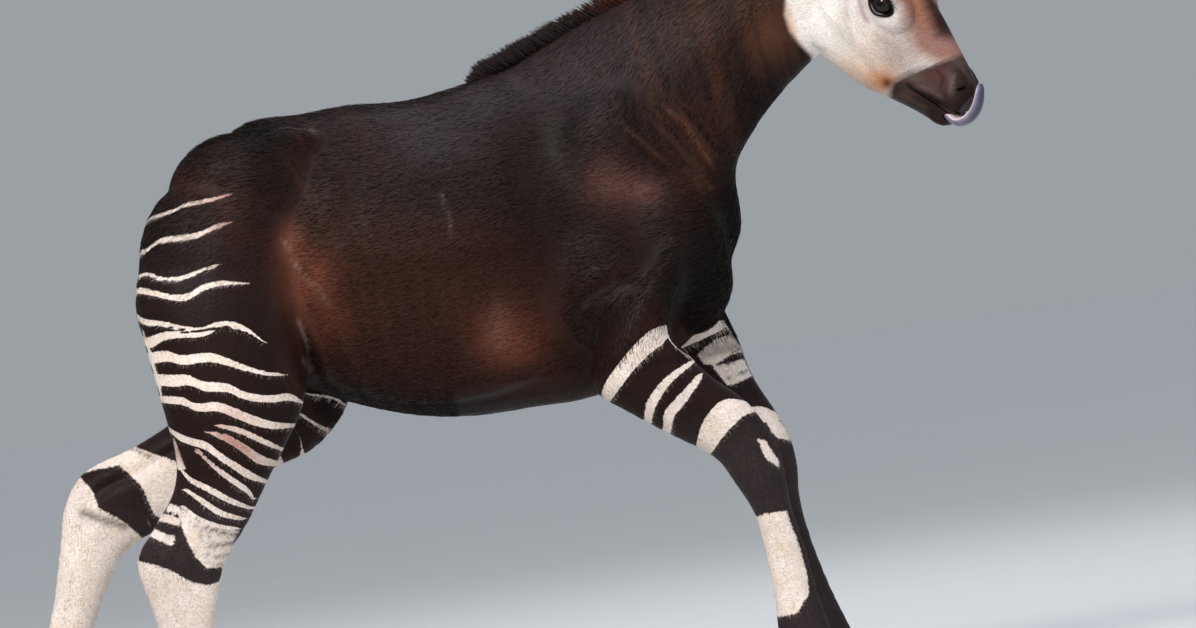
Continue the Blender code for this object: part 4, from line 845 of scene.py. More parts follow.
def limb_fields(points, name):
    """For each point: row of the right limb of that pair, share across, and outwardness from -1 to 1."""
    rows = LIMBS[name]
    row, share, miss = limb_place(points[:, [0, 2]], rows)
    count = np.arange(len(rows))
    middle_y = np.interp(row, count, rows[:, 4])
    half = np.interp(row, count, rows[:, 5])
    sign = -1.0 if name.endswith("right") else 1.0
    outward_share = sign * (points[:, 1] - middle_y) / half
    number = row / LIMB_SPAN
    if name == "hind_left":
        number = np.interp(number, *HIND_MATCH)
    return number, share, outward_share, miss


# Forms of the lower legs: pair, rows, share across, half width along and across (m), height.
LEG_FORMS = [
    ("fore", 7.9, 11.0, 0.64, 0.0050, -0.0026), ("hind", 9.2, 12.6, 0.62, 0.0052, -0.0028),
    ("hind", 5.6, 7.6, 0.72, 0.0085, -0.0055), ("fore", 6.0, 7.2, 0.30, 0.0100, 0.0018),
    ("fore", 6.3, 7.3, 0.66, 0.0060, -0.0022), ("hind", 7.8, 8.8, 0.45, 0.0085, 0.0018),
    ("hind", 8.3, 9.2, 0.72, 0.0060, -0.0020), ("fore", 1.6, 4.6, 0.62, 0.0080, -0.0020),
    ("fore", 11.6, 12.6, 0.70, 0.0055, -0.0022), ("hind", 13.4, 14.4, 0.70, 0.0055, -0.0022),
]


def sculpt_legs(mesh):
    """Tendon grooves, the knee and hock, on both sides of every leg."""
    points = points_of(mesh)
    normals = normals_of(mesh)
    low = points[:, 2] < 0.56
    where = np.nonzero(low)[0]
    chosen = points[where]
    move = np.zeros(len(where))
    for name, rows in LIMBS.items():
        own = (chosen[:, 1] < 0) if name.endswith("right") else (chosen[:, 1] > 0)
        own &= (chosen[:, 0] > -0.2) if name.startswith("fore") else (chosen[:, 0] < -0.2)
        number, share, out, miss = limb_fields(chosen, name)
        count = np.arange(len(rows)) / LIMB_SPAN
        match = count if name != "hind_left" else np.interp(count, *HIND_MATCH)
        width = np.interp(number, match, np.linalg.norm(rows[:, 2:4] - rows[:, 0:2], axis=1))
        flank = smooth(np.abs(out), 0.25, 0.75)
        for pair, first, last, at, half, height in LEG_FORMS:
            if not name.startswith(pair):
                continue
            along = smooth(number, first - 0.5, first + 0.4) * (1 - smooth(number, last - 0.4, last + 0.5))
            move += own * flank * height * along * np.exp(-((share - at) * width / half) ** 2)
    points[where] += normals[where] * move[:, None]
    set_points(mesh, points)


# Forms of the head in its own frame, mirrored: line, half width, height.
HEAD_FORMS = [
    ([(0.155, 0.050, -0.010), (0.138, 0.060, -0.020), (0.118, 0.060, -0.018), (0.104, 0.056, -0.006)],
     0.0042, -0.0018),
    ([(0.162, 0.046, -0.022), (0.140, 0.056, -0.032), (0.112, 0.058, -0.030)], 0.0050, 0.0010),
    ([(0.156, 0.050, 0.030), (0.132, 0.056, 0.040), (0.106, 0.054, 0.034)], 0.0036, -0.0018),
    ([(0.164, 0.044, 0.036), (0.134, 0.048, 0.050), (0.100, 0.050, 0.044)], 0.0070, 0.0016),
    ([(0.075, 0.055, 0.018), (0.088, 0.056, 0.000)], 0.0130, -0.0035),
    ([(0.172, 0.042, -0.040), (0.120, 0.056, -0.048), (0.070, 0.058, -0.040), (0.040, 0.052, -0.020)],
     0.0100, 0.0022),
    ([(0.030, 0.050, -0.070), (0.070, 0.054, -0.090), (0.110, 0.050, -0.092)], 0.0140, 0.0018),
    ([(0.130, 0.052, -0.066), (0.152, 0.046, -0.075), (0.170, 0.042, -0.088)], 0.0090, -0.0028),
    ([(0.240, 0.026, -0.012), (0.205, 0.034, -0.010), (0.170, 0.042, 0.004)], 0.0080, -0.0022),
    ([(0.268, 0.000, -0.008), (0.220, 0.000, 0.016), (0.170, 0.000, 0.042)], 0.0120, 0.0012),
    ([(0.206, 0.036, -0.052), (0.236, 0.033, -0.052), (0.264, 0.028, -0.052), (0.284, 0.012, -0.050)],
     0.0055, 0.0018),
    ([(0.206, 0.036, -0.073), (0.236, 0.033, -0.076), (0.264, 0.026, -0.076)], 0.0050, 0.0014),
    ([(0.222, 0.036, -0.086), (0.244, 0.030, -0.088)], 0.0050, -0.0014),
    ([(0.268, 0.024, -0.018), (0.282, 0.020, -0.020), (0.288, 0.015, -0.032)], 0.0034, 0.0014),
    ([(0.262, 0.026, -0.026), (0.268, 0.024, -0.036), (0.280, 0.020, -0.038)], 0.0032, 0.0012),
    ([(0.291, 0.000, -0.034), (0.292, 0.000, -0.056)], 0.0028, -0.0012),
]


def sculpt_head(mesh):
    points = points_of(mesh)
    normals = normals_of(mesh)
    where = np.nonzero(head_share(points) > 0.05)[0]
    local = head_local(points[where])
    local[:, 1] = np.abs(local[:, 1])
    move = np.zeros(len(where))
    for line, half, height in HEAD_FORMS:
        gap, along = line_distance(local, line)
        ends = 0.30 + 0.70 * smooth(np.minimum(along, 1 - along), 0.0, 0.25)
        move += height * ends * np.exp(-(gap / half) ** 2)
    points[where] += normals[where] * move[:, None]
    set_points(mesh, points)


def placed_rings(rings, matrix):
    return rings @ np.array(matrix.to_3x3()).T + np.array(matrix.translation)


def eye_axes(side):
    """Out of the eye, along its opening and up, in the head's frame."""
    out = Vector((0.10, side * 1.0, 0.12)).normalized()
    front = Vector((1, 0, -0.12))
    front = (front - out * front.dot(out)).normalized()
    up = front.cross(out) * (-side)
    if up.z < 0:
        up = -up
    return out, front, up


def almond(side, grow, count):
    """The eye's opening: places round it in the plane through the eye's middle, as (ahead, up)."""
    ring = []
    for k in range(count):
        t = 2 * math.pi * k / count
        x = math.cos(t)
        z = math.sin(t) * (1 - 0.25 * abs(x)) * (EYE_DROP if t > math.pi else 1.0)
        ring.append((x * (EYE_OPENING[0] + grow), z * (EYE_OPENING[1] + grow)))
    return ring


def eye_gap(points):
    """How far outside the opening of the nearer eye each place lies, seen along the eye's axis."""
    local = head_local(points)
    gap = np.full(len(points), 0.1)
    for side in (-1, 1):
        out, front, up = (np.array(v) for v in eye_axes(side))
        own = local - np.array((EYE_PLACE.x, side * EYE_PLACE.y, EYE_PLACE.z))
        flat = np.stack([own @ front, own @ up], axis=1)
        beyond = -outline_depth(flat, almond(side, 0.0, 48))
        gap = np.where((own @ out > 0.004) & (np.linalg.norm(own, axis=1) < 0.045), beyond, gap)
    return gap


def eye_window(side):
    out, front, up = eye_axes(side)
    rings = []
    for depth in (0.003, 0.040):
        ring = []
        for x, z in almond(side, 0.0, 48):
            place = Vector((EYE_PLACE.x, side * EYE_PLACE.y, EYE_PLACE.z))
            ring.append(tuple(HEAD @ (place + out * depth + front * x + up * z)))
        rings.append(ring)
    return loft_mesh(np.array(rings))


def nostril_bore(side):
    rings = ellipsoid_rings((0.0, 0.0, 0.0), NOSTRIL_SIZE, 0.0, 20, 14)
    turn = Matrix.Rotation(math.radians(side * NOSTRIL_YAW), 4, "Z") @ Matrix.Rotation(math.radians(-38), 4,
                                                                                       "Y")
    place = Matrix.Translation((NOSTRIL_PLACE.x, side * NOSTRIL_PLACE.y, NOSTRIL_PLACE.z))
    return loft_mesh(placed_rings(rings, HEAD @ place @ turn))


# Half the gap between the lips and where it ends inside, at places ahead of the mouth's corner.
LIP_GAP = ([-0.001, 0.020, 0.050, 0.070, 0.113], [0.0, 0.0010, 0.0019, 0.0023, 0.0028])
LIP_END = ([-0.001, 0.020, 0.050, 0.070, 0.113], [0.030, 0.026, 0.016, -0.002, -0.002])


def mouth_wedge(side):
    """The parted lips of one side: a thin wedge that ends inside the mouth."""
    run = (MOUTH_FRONT - MOUTH_CORNER).normalized()
    rise = Vector((-run.z, 0, run.x))
    ahead = LIP_GAP[0]
    outline = [(a, float(np.interp(a, *LIP_GAP))) for a in ahead]
    outline += [(a, -b) for a, b in outline[:0:-1]]
    rings = []
    for outer in (False, True):
        ring = []
        for a, b in outline:
            y = side * (0.06 if outer else float(np.interp(a, *LIP_END)))
            ring.append(tuple(HEAD @ (MOUTH_CORNER + run * a + rise * b + Vector((0, y, 0)))))
        rings.append(ring)
    return loft_mesh(np.array(rings))


def tongue_hollow():
    """The room that the tongue takes in the lower lip."""
    line = [(Vector(place), wide) for place, wide, thick in TONGUE[:5]]
    rings = []
    for i, (place, wide) in enumerate(line):
        thick = TONGUE[i][2] + 0.0013
        after = line[min(i + 1, len(line) - 1)][0]
        before = line[max(i - 1, 0)][0]
        rise = (after - before).cross(Vector((0, 1, 0))).normalized()
        ring = []
        for k in range(24):
            t = 2 * math.pi * k / 24
            side = Vector((0, 1, 0)) * ((wide + 0.0013) * math.cos(t))
            ring.append(tuple(HEAD @ (place + side + rise * (thick * math.sin(t)))))
        rings.append(ring)
    return loft_mesh(np.array(rings))


def tube_rings(line, radius, ring, span):
    rows = curve_rows([tuple(p) + (r,) for p, r in line], span)
    rings = []
    side = Vector((0, 1, 0))
    for i, row in enumerate(rows):
        before = Vector(rows[max(i - 1, 0)][:3])
        after = Vector(rows[min(i + 1, len(rows) - 1)][:3])
        along = (after - before).normalized()
        rise = along.cross(side).normalized()
        flat = rise.cross(along).normalized()
        points = []
        for k in range(ring):
            t = 2 * math.pi * k / ring
            points.append(tuple(Vector(row[:3]) + (flat * math.cos(t)
                                                   + rise * math.sin(t)) * (radius * row[3])))
        rings.append(points)
    return np.array(rings)


EAR_LEVELS = 40
EAR_STEPS = 23


def ear_axes(side):
    along = Vector((EAR_DIRECTION.x, side * EAR_DIRECTION.y, EAR_DIRECTION.z)).normalized()
    face = Vector((0.85, side * 0.45, 0.15))
    face = (face - along * face.dot(along)).normalized()
    return along, face, along.cross(face)


def ear_shell(side):
    """A leaf rolled into a cup, open to the front, on a round root."""
    along, face, across = ear_axes(side)
    root = Vector((EAR_ROOT.x, side * EAR_ROOT.y, EAR_ROOT.z))
    rings = []
    for i in range(EAR_LEVELS + 1):
        t = i / EAR_LEVELS
        width = EAR_WIDTH * float(np.interp(t, *zip(*EAR_SPREAD)))
        roll = math.radians(float(np.interp(t, *zip(*EAR_ROLL))))
        bend = width / math.sin(min(roll, math.pi / 2)) if roll < math.pi / 2 else width
        middle = root + along * (EAR_LENGTH * t) + face * (0.010 * math.sin(math.pi * t))
        outer = []
        inner = []
        for k in range(EAR_STEPS):
            share = 2 * k / (EAR_STEPS - 1) - 1
            a = roll * share
            wall = EAR_WALL * (1 - 0.45 * t) * (1 - 0.45 * abs(share) ** 3)
            for line, radius in ((outer, bend), (inner, bend - wall)):
                sideways = across * (radius * math.sin(a))
                depth = face * (bend * math.cos(roll) - radius * math.cos(a))
                line.append(tuple(HEAD @ (middle + sideways + depth)))
        rings.append(outer + inner[::-1])
    return loft_mesh(np.array(rings), True)


def ear_plug(side):
    along, face, across = ear_axes(side)
    root = Vector((EAR_ROOT.x, side * EAR_ROOT.y, EAR_ROOT.z))
    turn = Vector((0, 0, 1)).rotation_difference(along).to_matrix().to_4x4()
    place = Matrix.Translation(root + along * EAR_PLUG_RISE - face * EAR_PLUG_BACK)
    return loft_mesh(placed_rings(ellipsoid_rings((0.0, 0.0, 0.0), EAR_PLUG, 0.0, 20, 12),
                                  HEAD @ place @ turn))


def carve(target, cutter, operation, solver="EXACT"):
    cut = target.modifiers.new("cut", "BOOLEAN")
    cut.operation = operation
    cut.solver = solver
    cut.object = cutter
    settle(target)
    remove(cutter)


def joined(name, pieces):
    verts = []
    faces = []
    for more_verts, more_faces in pieces:
        base = len(verts)
        verts.extend(more_verts)
        faces.extend([tuple(base + i for i in face) for face in more_faces])
    return object_of(name, verts, faces)


def let_out(mesh, amount):
    set_points(mesh, points_of(mesh) + normals_of(mesh) * amount)


def make_skin():
    verts, faces = [], []
    for sections in (TORSO, NECK, FORE_RIGHT, FORE_LEFT, HIND_RIGHT, HIND_LEFT):
        add_piece(verts, faces, section_rings(sections))
    for middle, radii, turn in MASSES:
        for side in (-1, 1):
            add_piece(verts, faces, ellipsoid_rings((middle[0], side * middle[1], middle[2]), radii, turn))
    add_head(verts, faces)
    skin = fused("skin", verts, faces, SKIN_VOXEL)
    relax(skin.data, EVENING, looseness(points_of(skin.data), 0.45))
    verts, faces = [], []
    add_piece(verts, faces, section_rings(NECK))
    add_head(verts, faces)
    fine = fused("fine", verts, faces, HEAD_VOXEL)
    relax(fine.data, 70, looseness(points_of(fine.data), 0.40))
    refine(skin.data, head_share(points_of(skin.data)) > 0.02)
    local = head_local(points_of(skin.data))
    sides = np.abs(local[:, 1])
    face_part = (local[:, 0] > 0.085) & (local[:, 0] < 0.175) & (sides > 0.024) & (local[:, 2] > -0.045)
    face_part |= (local[:, 0] > 0.195)
    face_part &= np.hypot(local[:, 1], local[:, 2]) < 0.14
    refine(skin.data, face_part)
    snap_to(skin.data, fine.data)
    remove(fine)
    let_out(skin.data, SWELL - COAT_DEPTH + (COAT_DEPTH - FACE_DEPTH) * head_share(points_of(skin.data))[:,
                                                                                                         None])
    soften_shoulder(skin.data)
    sculpt_body(skin.data)
    sculpt_legs(skin.data)
    sculpt_head(skin.data)
    for pieces in ([ear_shell(-1), ear_shell(1)], [ear_plug(-1), ear_plug(1)],
                   [loft_mesh(tube_rings(TAIL, TAIL_RADIUS, 16, 6))]):
        carve(skin, joined("more", pieces), "UNION")
    near = seam_share(points_of(skin.data))
    relax(skin.data, 8, near, (0.5,))
    cuts = [eye_window(-1), eye_window(1), nostril_bore(-1), nostril_bore(1)]
    carve(skin, joined("cuts", cuts), "DIFFERENCE")
    balls = []
    for side in (-1, 1):
        place = (EYE_PLACE.x, side * EYE_PLACE.y, EYE_PLACE.z)
        radius = EYE_RADIUS + 0.0002
        balls.append(loft_mesh(placed_rings(ellipsoid_rings(place, (radius, radius, radius), 0.0, 32, 20),
                                            HEAD)))
    carve(skin, joined("balls", balls), "DIFFERENCE")
    for piece in (tongue_hollow(), mouth_wedge(-1), mouth_wedge(1)):
        carve(skin, joined("mouth", [piece]), "DIFFERENCE")
    return skin


def seam_share(points):
    """Near the ears' and tail's roots, where the joined surfaces are evened."""
    local = head_local(points)
    local[:, 1] = np.abs(local[:, 1])
    ear = np.linalg.norm(local - np.array(EAR_ROOT) - np.array((-0.002, 0.004, 0.004)), axis=1)
    tail = np.linalg.norm(points - np.array(TAIL[0][0]) - np.array((-0.004, 0, -0.004)), axis=1)
    return np.maximum(1 - smooth(ear, 0.018, 0.030), 1 - smooth(tail, 0.020, 0.034))


def snap_to(mesh, target):
    """The head's points move onto the finer head."""
    points = points_of(mesh)
    share = head_share(points)
    verts = [tuple(p) for p in points_of(target)]
    polys = [tuple(p.vertices) for p in target.polygons]
    tree = BVHTree.FromPolygons(verts, polys)
    for i in np.nonzero(share > 0.0)[0]:
        found = tree.find_nearest(Vector(points[i]))
        if found[0] is not None:
            points[i] += share[i] * (np.array(found[0]) - points[i])
    set_points(mesh, points)


STRIPE_NODES = 32
STRIPE_HOLD = 0.10        # share of the limb's width by which a stripe's line runs on past its end
STRIPE_CLOSE = 0.06       # how fast a stripe closes past its end, metres to one share


def stripe_table(stripes, limb, side_y):
    """Each stripe's row, half width and redness at even shares across the limb."""
    rows = LIMBS[limb]
    nodes = np.linspace(0.0, 1.0, STRIPE_NODES)
    level = np.full((len(stripes), STRIPE_NODES), np.nan)
    wide = np.zeros((len(stripes), STRIPE_NODES))
    red = np.zeros((len(stripes), STRIPE_NODES))
    for i, stripe in enumerate(stripes):
        stripe = curve_rows(stripe, 6)
        flat = np.array([photo_place(a, d, side_y) for a, d, half, tint in stripe])
        row, share, miss = limb_place(flat, rows)
        number = row / LIMB_SPAN
        order = np.argsort(share)
        low, high = share[order][0], share[order][-1]
        inside = (nodes >= low) & (nodes <= high)
        held = (nodes >= low - STRIPE_HOLD) & (nodes <= high + STRIPE_HOLD)
        level[i, held] = np.interp(nodes, share[order], number[order])[held]
        wide[i] = np.interp(nodes, share[order], stripe[order, 2]) * PHOTO_SCALE
        red[i] = np.interp(nodes, share[order], stripe[order, 3])
        beyond = np.maximum(low - nodes, nodes - high).clip(0) * STRIPE_CLOSE
        open_end = ((nodes > high) & (high > 0.90)) | ((nodes < low) & (low < 0.06))
        wide[i] -= np.where(open_end | inside, 0.0, 0.0004 + beyond)
    for k in range(STRIPE_NODES):
        known = np.nonzero(np.isfinite(level[:, k]))[0]
        if len(known) == 0:
            continue
        gone = np.nonzero(~np.isfinite(level[:, k]))[0]
        level[gone, k] = np.interp(gone, known, level[known, k])
        level[gone, k] += 0.25 * np.minimum(gone - known[0], 0) + 0.25 * np.maximum(gone - known[-1], 0)
    for k in range(STRIPE_NODES):
        if not np.isfinite(level[0, k]):
            level[:, k] = level[:, k - 1] if k and np.isfinite(level[0, k - 1]) else level[:, k]
    for k in range(STRIPE_NODES - 2, -1, -1):
        if not np.isfinite(level[0, k]):
            level[:, k] = level[:, k + 1]
    level = np.maximum.accumulate(level + 0.02 * np.arange(len(stripes))[:, None], axis=0)
    level = level - 0.02 * np.arange(len(stripes))[:, None]
    for i in range(1, len(stripes)):
        level[i] = np.maximum(level[i], level[i - 1] + 0.04)
    return level, wide, red


def stripe_fields(number, share, table, metres):
    """Count of the nearest stripes, their distance apart, half width and redness at each place."""
    level, wide, red = table
    spot = np.clip(share, 0, 1) * (STRIPE_NODES - 1)
    k = np.minimum(spot.astype(int), STRIPE_NODES - 2)
    t = spot - k

    def across(values):
        return values[:, k] * (1 - t) + values[:, k + 1] * t

    levels = across(level)
    last = len(level) - 1
    below = np.clip((levels < number[None]).sum(axis=0) - 1, 0, last - 1)
    index = np.arange(len(number))
    low, high = levels[below, index], levels[below + 1, index]
    part = (number - low) / (high - low)
    held = np.clip(part, 0, 1)
    wides, reds = across(wide), across(red)
    width = wides[below, index] * (1 - held) + wides[below + 1, index] * held
    tint = reds[below, index] * (1 - held) + reds[below + 1, index] * held
    return below + part, (high - low) * metres, width, tint


def outlines_of(outlines, side_y):
    return [[photo_place(a, d, side_y) for a, d in outline] for outline in outlines]


THIGH_TABLE = stripe_table(THIGH_STRIPES, "hind_right", THIGH_SIDE)
FORE_TABLE = stripe_table(FORE_STRIPES, "fore_right", FORE_SIDE)


def limb_flat(name, number, share):
    """The place (x, z) on the photographed limb of that pair that has this row and share."""
    rows = LIMBS[name]
    spot = np.clip(number * LIMB_SPAN, 0, len(rows) - 1)
    count = np.arange(len(rows))
    front = np.stack([np.interp(spot, count, rows[:, 0]), np.interp(spot, count, rows[:, 1])], axis=1)
    back = np.stack([np.interp(spot, count, rows[:, 2]), np.interp(spot, count, rows[:, 3])], axis=1)
    return front + (back - front) * share[:, None]


def best_depth(flat, outlines):
    depth = np.full(len(flat), -0.05)
    for outline in outlines:
        depth = np.maximum(depth, outline_depth(flat, outline))
    return depth


def markings(points, normals):
    """Every marking of the coat at these places, and its tone with painted sheen and painted shade, as fields for
    the shader.
    """
    count = len(points)
    fields = {
        "stripe": np.full(count, -9.0), "apart": np.full(count, 0.02), "wide": np.full(count, -0.01),
        "patch": np.full(count, -0.05), "tint": np.zeros(count), "last": np.zeros(count),
        "soil": np.zeros(count),
    }
    for name in LIMBS:
        right = name.endswith("right")
        own = (points[:, 1] < 0) if right else (points[:, 1] > 0)
        own &= (points[:, 0] > -0.2) if name.startswith("fore") else (points[:, 0] < -0.2)
        own &= points[:, 2] < (0.58 if name.startswith("fore") else 0.86)
        where = np.nonzero(own)[0]
        chosen = points[where]
        number, share, out, miss = limb_fields(chosen, name)
        outer = smooth(out, -0.15, 0.25)
        wrap = smooth(out, -1.0, 0.0)
        if name.startswith("fore"):
            stripe, apart, wide, tint = stripe_fields(number, share, FORE_TABLE, 0.044)
            inner_cut = 0.004 + 0.008 * smooth(share, 0.35, 0.6)
            flat = limb_flat("fore_right", number, share)
            white = best_depth(flat, outlines_of(FORE_WHITE, FORE_SIDE))
            cannon = np.minimum(number - 7.6, FORE_FETLOCK - number) * 0.05
            inner = np.minimum(cannon, (share - 0.55) * 0.05)
            seen = limb_flat("fore_left", number, share)
            inner = np.maximum(inner, best_depth(seen, outlines_of(FORE_INNER_WHITE, FORE_INNER_SIDE)))
            soil = (1 - outer) * soil_of(seen, FORE_INNER_SOIL, FORE_INNER_SIDE)
            end = (FORE_FETLOCK - number) * 0.05
            white = np.where(number > FORE_FETLOCK - 0.4, np.minimum(white, end), white)
            patch = outer * white + (1 - outer) * inner
        else:
            stripe, apart, wide, tint = stripe_fields(number, share, THIGH_TABLE, 0.065)
            inner_cut = 0.0045 + 0.004 * smooth(share, 0.25, 0.5)
            flat = limb_flat("hind_right", number, share)
            white = best_depth(flat, outlines_of(HIND_WHITE, THIGH_SIDE + 0.02))
            seen = limb_flat("hind_left", np.interp(number, HIND_MATCH[1], HIND_MATCH[0]), share)
            inner = best_depth(seen, outlines_of(HIND_INNER_WHITE, HIND_INNER_SIDE))
            soil = outer * soil_of(flat, HIND_SOIL, THIGH_SIDE + 0.02)
            soil += (1 - outer) * soil_of(seen, HIND_INNER_SOIL, HIND_INNER_SIDE)
            patch = np.minimum(outer * white + (1 - outer) * inner, (HIND_FETLOCK - number) * 0.05)
        fields["stripe"][where] = stripe
        fields["last"][where] = (len(FORE_STRIPES) if name.startswith("fore") else len(THIGH_STRIPES)) - 1
        fields["apart"][where] = apart
        fields["wide"][where] = wide - inner_cut * (1 - wrap)
        fields["tint"][where] = tint
        fields["patch"][where] = patch
        fields["soil"][where] = soil
    fields["tone"] = tone_of(points, normals)
    return fields


def wander(across, seed):
    """A smooth random line from -1 to 1 along one coordinate, in pixels."""
    chance = np.random.default_rng(seed)
    total = np.zeros(len(across))
    for wave in (64.0, 37.0, 21.0, 12.5, 7.5, 4.6):
        total += np.sin(across / wave * 2 * math.pi + chance.uniform(0, 6.28)) * (wave / 64.0) ** 0.25
    return np.clip(total / 2.6, -1, 1)


def blend(tone, amount, colour):
    amount = np.clip(amount, 0, 1)[:, None]
    return tone * (1 - amount) + np.array(colour) * amount


def add_tones(tone, spot, tones, mask):
    for (across, down), (wide, high), colour, amount in tones:
        away = ((spot[:, 0] - across) / wide) ** 2 + ((spot[:, 1] - down) / high) ** 2
        tone = blend(tone, amount * mask * np.exp(-away * 0.7), colour)
    return tone


def add_lines(tone, spot, lines, mask):
    for line, half, colour, amount in lines:
        gap, along = line_distance(spot, line)
        ends = smooth(np.minimum(along, 1 - along), -0.05, 0.15)
        tone = blend(tone, amount * ends * mask * np.exp(-(gap / half) ** 2), colour)
    return tone


def soil_of(flat, streaks, side_y):
    """Grey streaks in the white, near lines given as places in the photograph."""
    soil = np.zeros(len(flat))
    for line, half, amount in streaks:
        gap, along = line_distance(flat, [photo_place(a, d, side_y) for a, d in line])
        soil = np.maximum(soil, amount * np.exp(-(gap / (half * PHOTO_SCALE)) ** 2))
    return soil


def tone_of(points, normals):
    """The coat's colour at each place, without the white of the legs, with painted sheen and painted shade on the
    trunk and legs.
    """
    right = np.stack([points[:, 0], -np.abs(points[:, 1]), points[:, 2]], axis=1)
    spot = photo_of(right)
    side = smooth(np.abs(normals[:, 1]), 0.0, 0.35)
    trunk = smooth(points[:, 2], 0.36, 0.44)
    tone = np.tile(np.array(MAROON), (len(points), 1))
    # The legs are greyed by half: painted sheen on their dark coat.
    tone = blend(tone, 0.5 * (1 - trunk), GREY)
    tone = add_tones(tone, spot, BODY_TONES, trunk * (0.3 + 0.7 * side))
    neck = smooth(spot[:, 0], 590, 640) * (1 - smooth(spot[:, 1], 110, 175)) * side
    streak = wander(spot[:, 0] * 0.96 - spot[:, 1] * 0.28, COAT_NOISE_SEED)
    tone = blend(tone, neck * 0.24 * np.clip(streak, 0, 1), RUST)
    tone = blend(tone, neck * 0.50 * np.clip(-streak, 0, 1), DARK)
    flank = smooth(spot[:, 0], 270, 300) * (1 - smooth(spot[:, 0], 330, 420)) * side * trunk
    streak = wander(spot[:, 0] * 0.86 - spot[:, 1] * 0.50, COAT_NOISE_SEED + 1)
    tone = blend(tone, flank * 0.20 * np.clip(streak, 0, 1), RUST)
    tone = add_lines(tone, spot, BODY_LINES, side * trunk)
    near = np.linalg.norm(points - HEAD_MIDDLE, axis=1) < 0.42
    local = head_local(points)
    local[:, 1] = -np.abs(local[:, 1])
    spot = photo_of(head_world(local))
    collar = smooth(outline_depth(spot, COLLAR), -3.0, 3.0) * near * smooth(local[:, 0], -0.06, -0.03)
    rag = 3.0 * wander(spot[:, 0] + 2.0 * spot[:, 1], COAT_NOISE_SEED + 2)
    crown = outline_depth(spot, CROWN)
    crown = np.where(local[:, 2] > -0.02, np.maximum(crown, (0.019 + local[:, 1]) / PHOTO_SCALE), crown)
    face = np.tile(np.array(CHEEK), (len(points), 1))
    face = add_tones(face, spot, FACE_TONES, 1.0)
    face = add_lines(face, spot, FACE_LINES, 1.0)
    face = blend(face, smooth(crown + 0.5 * rag, -14, 9), BRIDGE)
    face = blend(face, 0.6 * smooth(crown, 4, 12) * (1 - smooth(spot[:, 1], 14, 40)), BRIDGE_ORANGE)
    deep = smooth(crown + 0.5 * rag, 15, 32) * (1 - smooth(spot[:, 1], 24, 64))
    face = blend(face, deep, BRIDGE_DARK)
    dark = np.tile(np.array(MUZZLE), (len(points), 1))
    dark = add_tones(dark, spot, MUZZLE_TONES, 1.0)
    dark = add_lines(dark, spot, MUZZLE_LINES, 1.0)
    share = smooth(outline_depth(spot, MUZZLE_EDGE) + 0.5 * rag, -5.0, 5.0)[:, None]
    face = face * (1 - share) + dark * share
    face = blend(face, 1 - smooth(eye_gap(points), 0.0024, 0.0044), EYE_SKIN)
    tone = tone * (1 - collar[:, None]) + face * collar[:, None]
    ear = ear_share(points)
    tone = blend(tone, ear, MAROON)
    return blend(tone, 0.85 * ear * cup_share(points), CUP)


def cup_share(points):
    """1 inside the cup of each ear."""
    local = head_local(points)
    share = np.zeros(len(points))
    for side in (-1, 1):
        along, face, across = (np.array(v) for v in ear_axes(side))
        own = local - np.array((EAR_ROOT.x, side * EAR_ROOT.y, EAR_ROOT.z))
        t = np.clip(own @ along / EAR_LENGTH, 0, 1)
        bow = 0.010 * np.sin(math.pi * t)
        width = EAR_WIDTH * np.interp(t, *zip(*EAR_SPREAD))
        roll = np.radians(np.interp(t, *zip(*EAR_ROLL)))
        bend = np.where(roll < math.pi / 2, width / np.sin(np.minimum(roll, math.pi / 2)), width)
        ahead = own @ face - bow - bend * np.cos(roll)
        radius = np.hypot(own @ across, ahead)
        inside = radius < bend - 0.55 * EAR_WALL * (1 - 0.45 * t)
        share = np.maximum(share, inside * (local[:, 1] * side > 0))
    return share


def ear_share(points):
    """1 on the ears."""
    local = head_local(points)
    share = np.zeros(len(points))
    for side in (-1, 1):
        along, face, across = (np.array(v) for v in ear_axes(side))
        own = local - np.array((EAR_ROOT.x, side * EAR_ROOT.y, EAR_ROOT.z))
        t = own @ along / EAR_LENGTH
        wide = np.linalg.norm(own - (own @ along)[:, None] * along, axis=1)
        share = np.maximum(share, smooth(t, 0.06, 0.16) * (wide < 0.075) * (t < 1.1))
    return share


def store(mesh, fields):
    for name, values in fields.items():
        if values.ndim == 2:
            layer = mesh.attributes.new(name, "FLOAT_COLOR", "POINT")
            full = np.concatenate([values, np.ones((len(values), 1))], axis=1)
            layer.data.foreach_set("color", np.ascontiguousarray(full, dtype=np.float32).ravel())
            continue
        layer = mesh.attributes.new(name, "FLOAT", "POINT")
        layer.data.foreach_set("value", np.ascontiguousarray(values, dtype=np.float32))


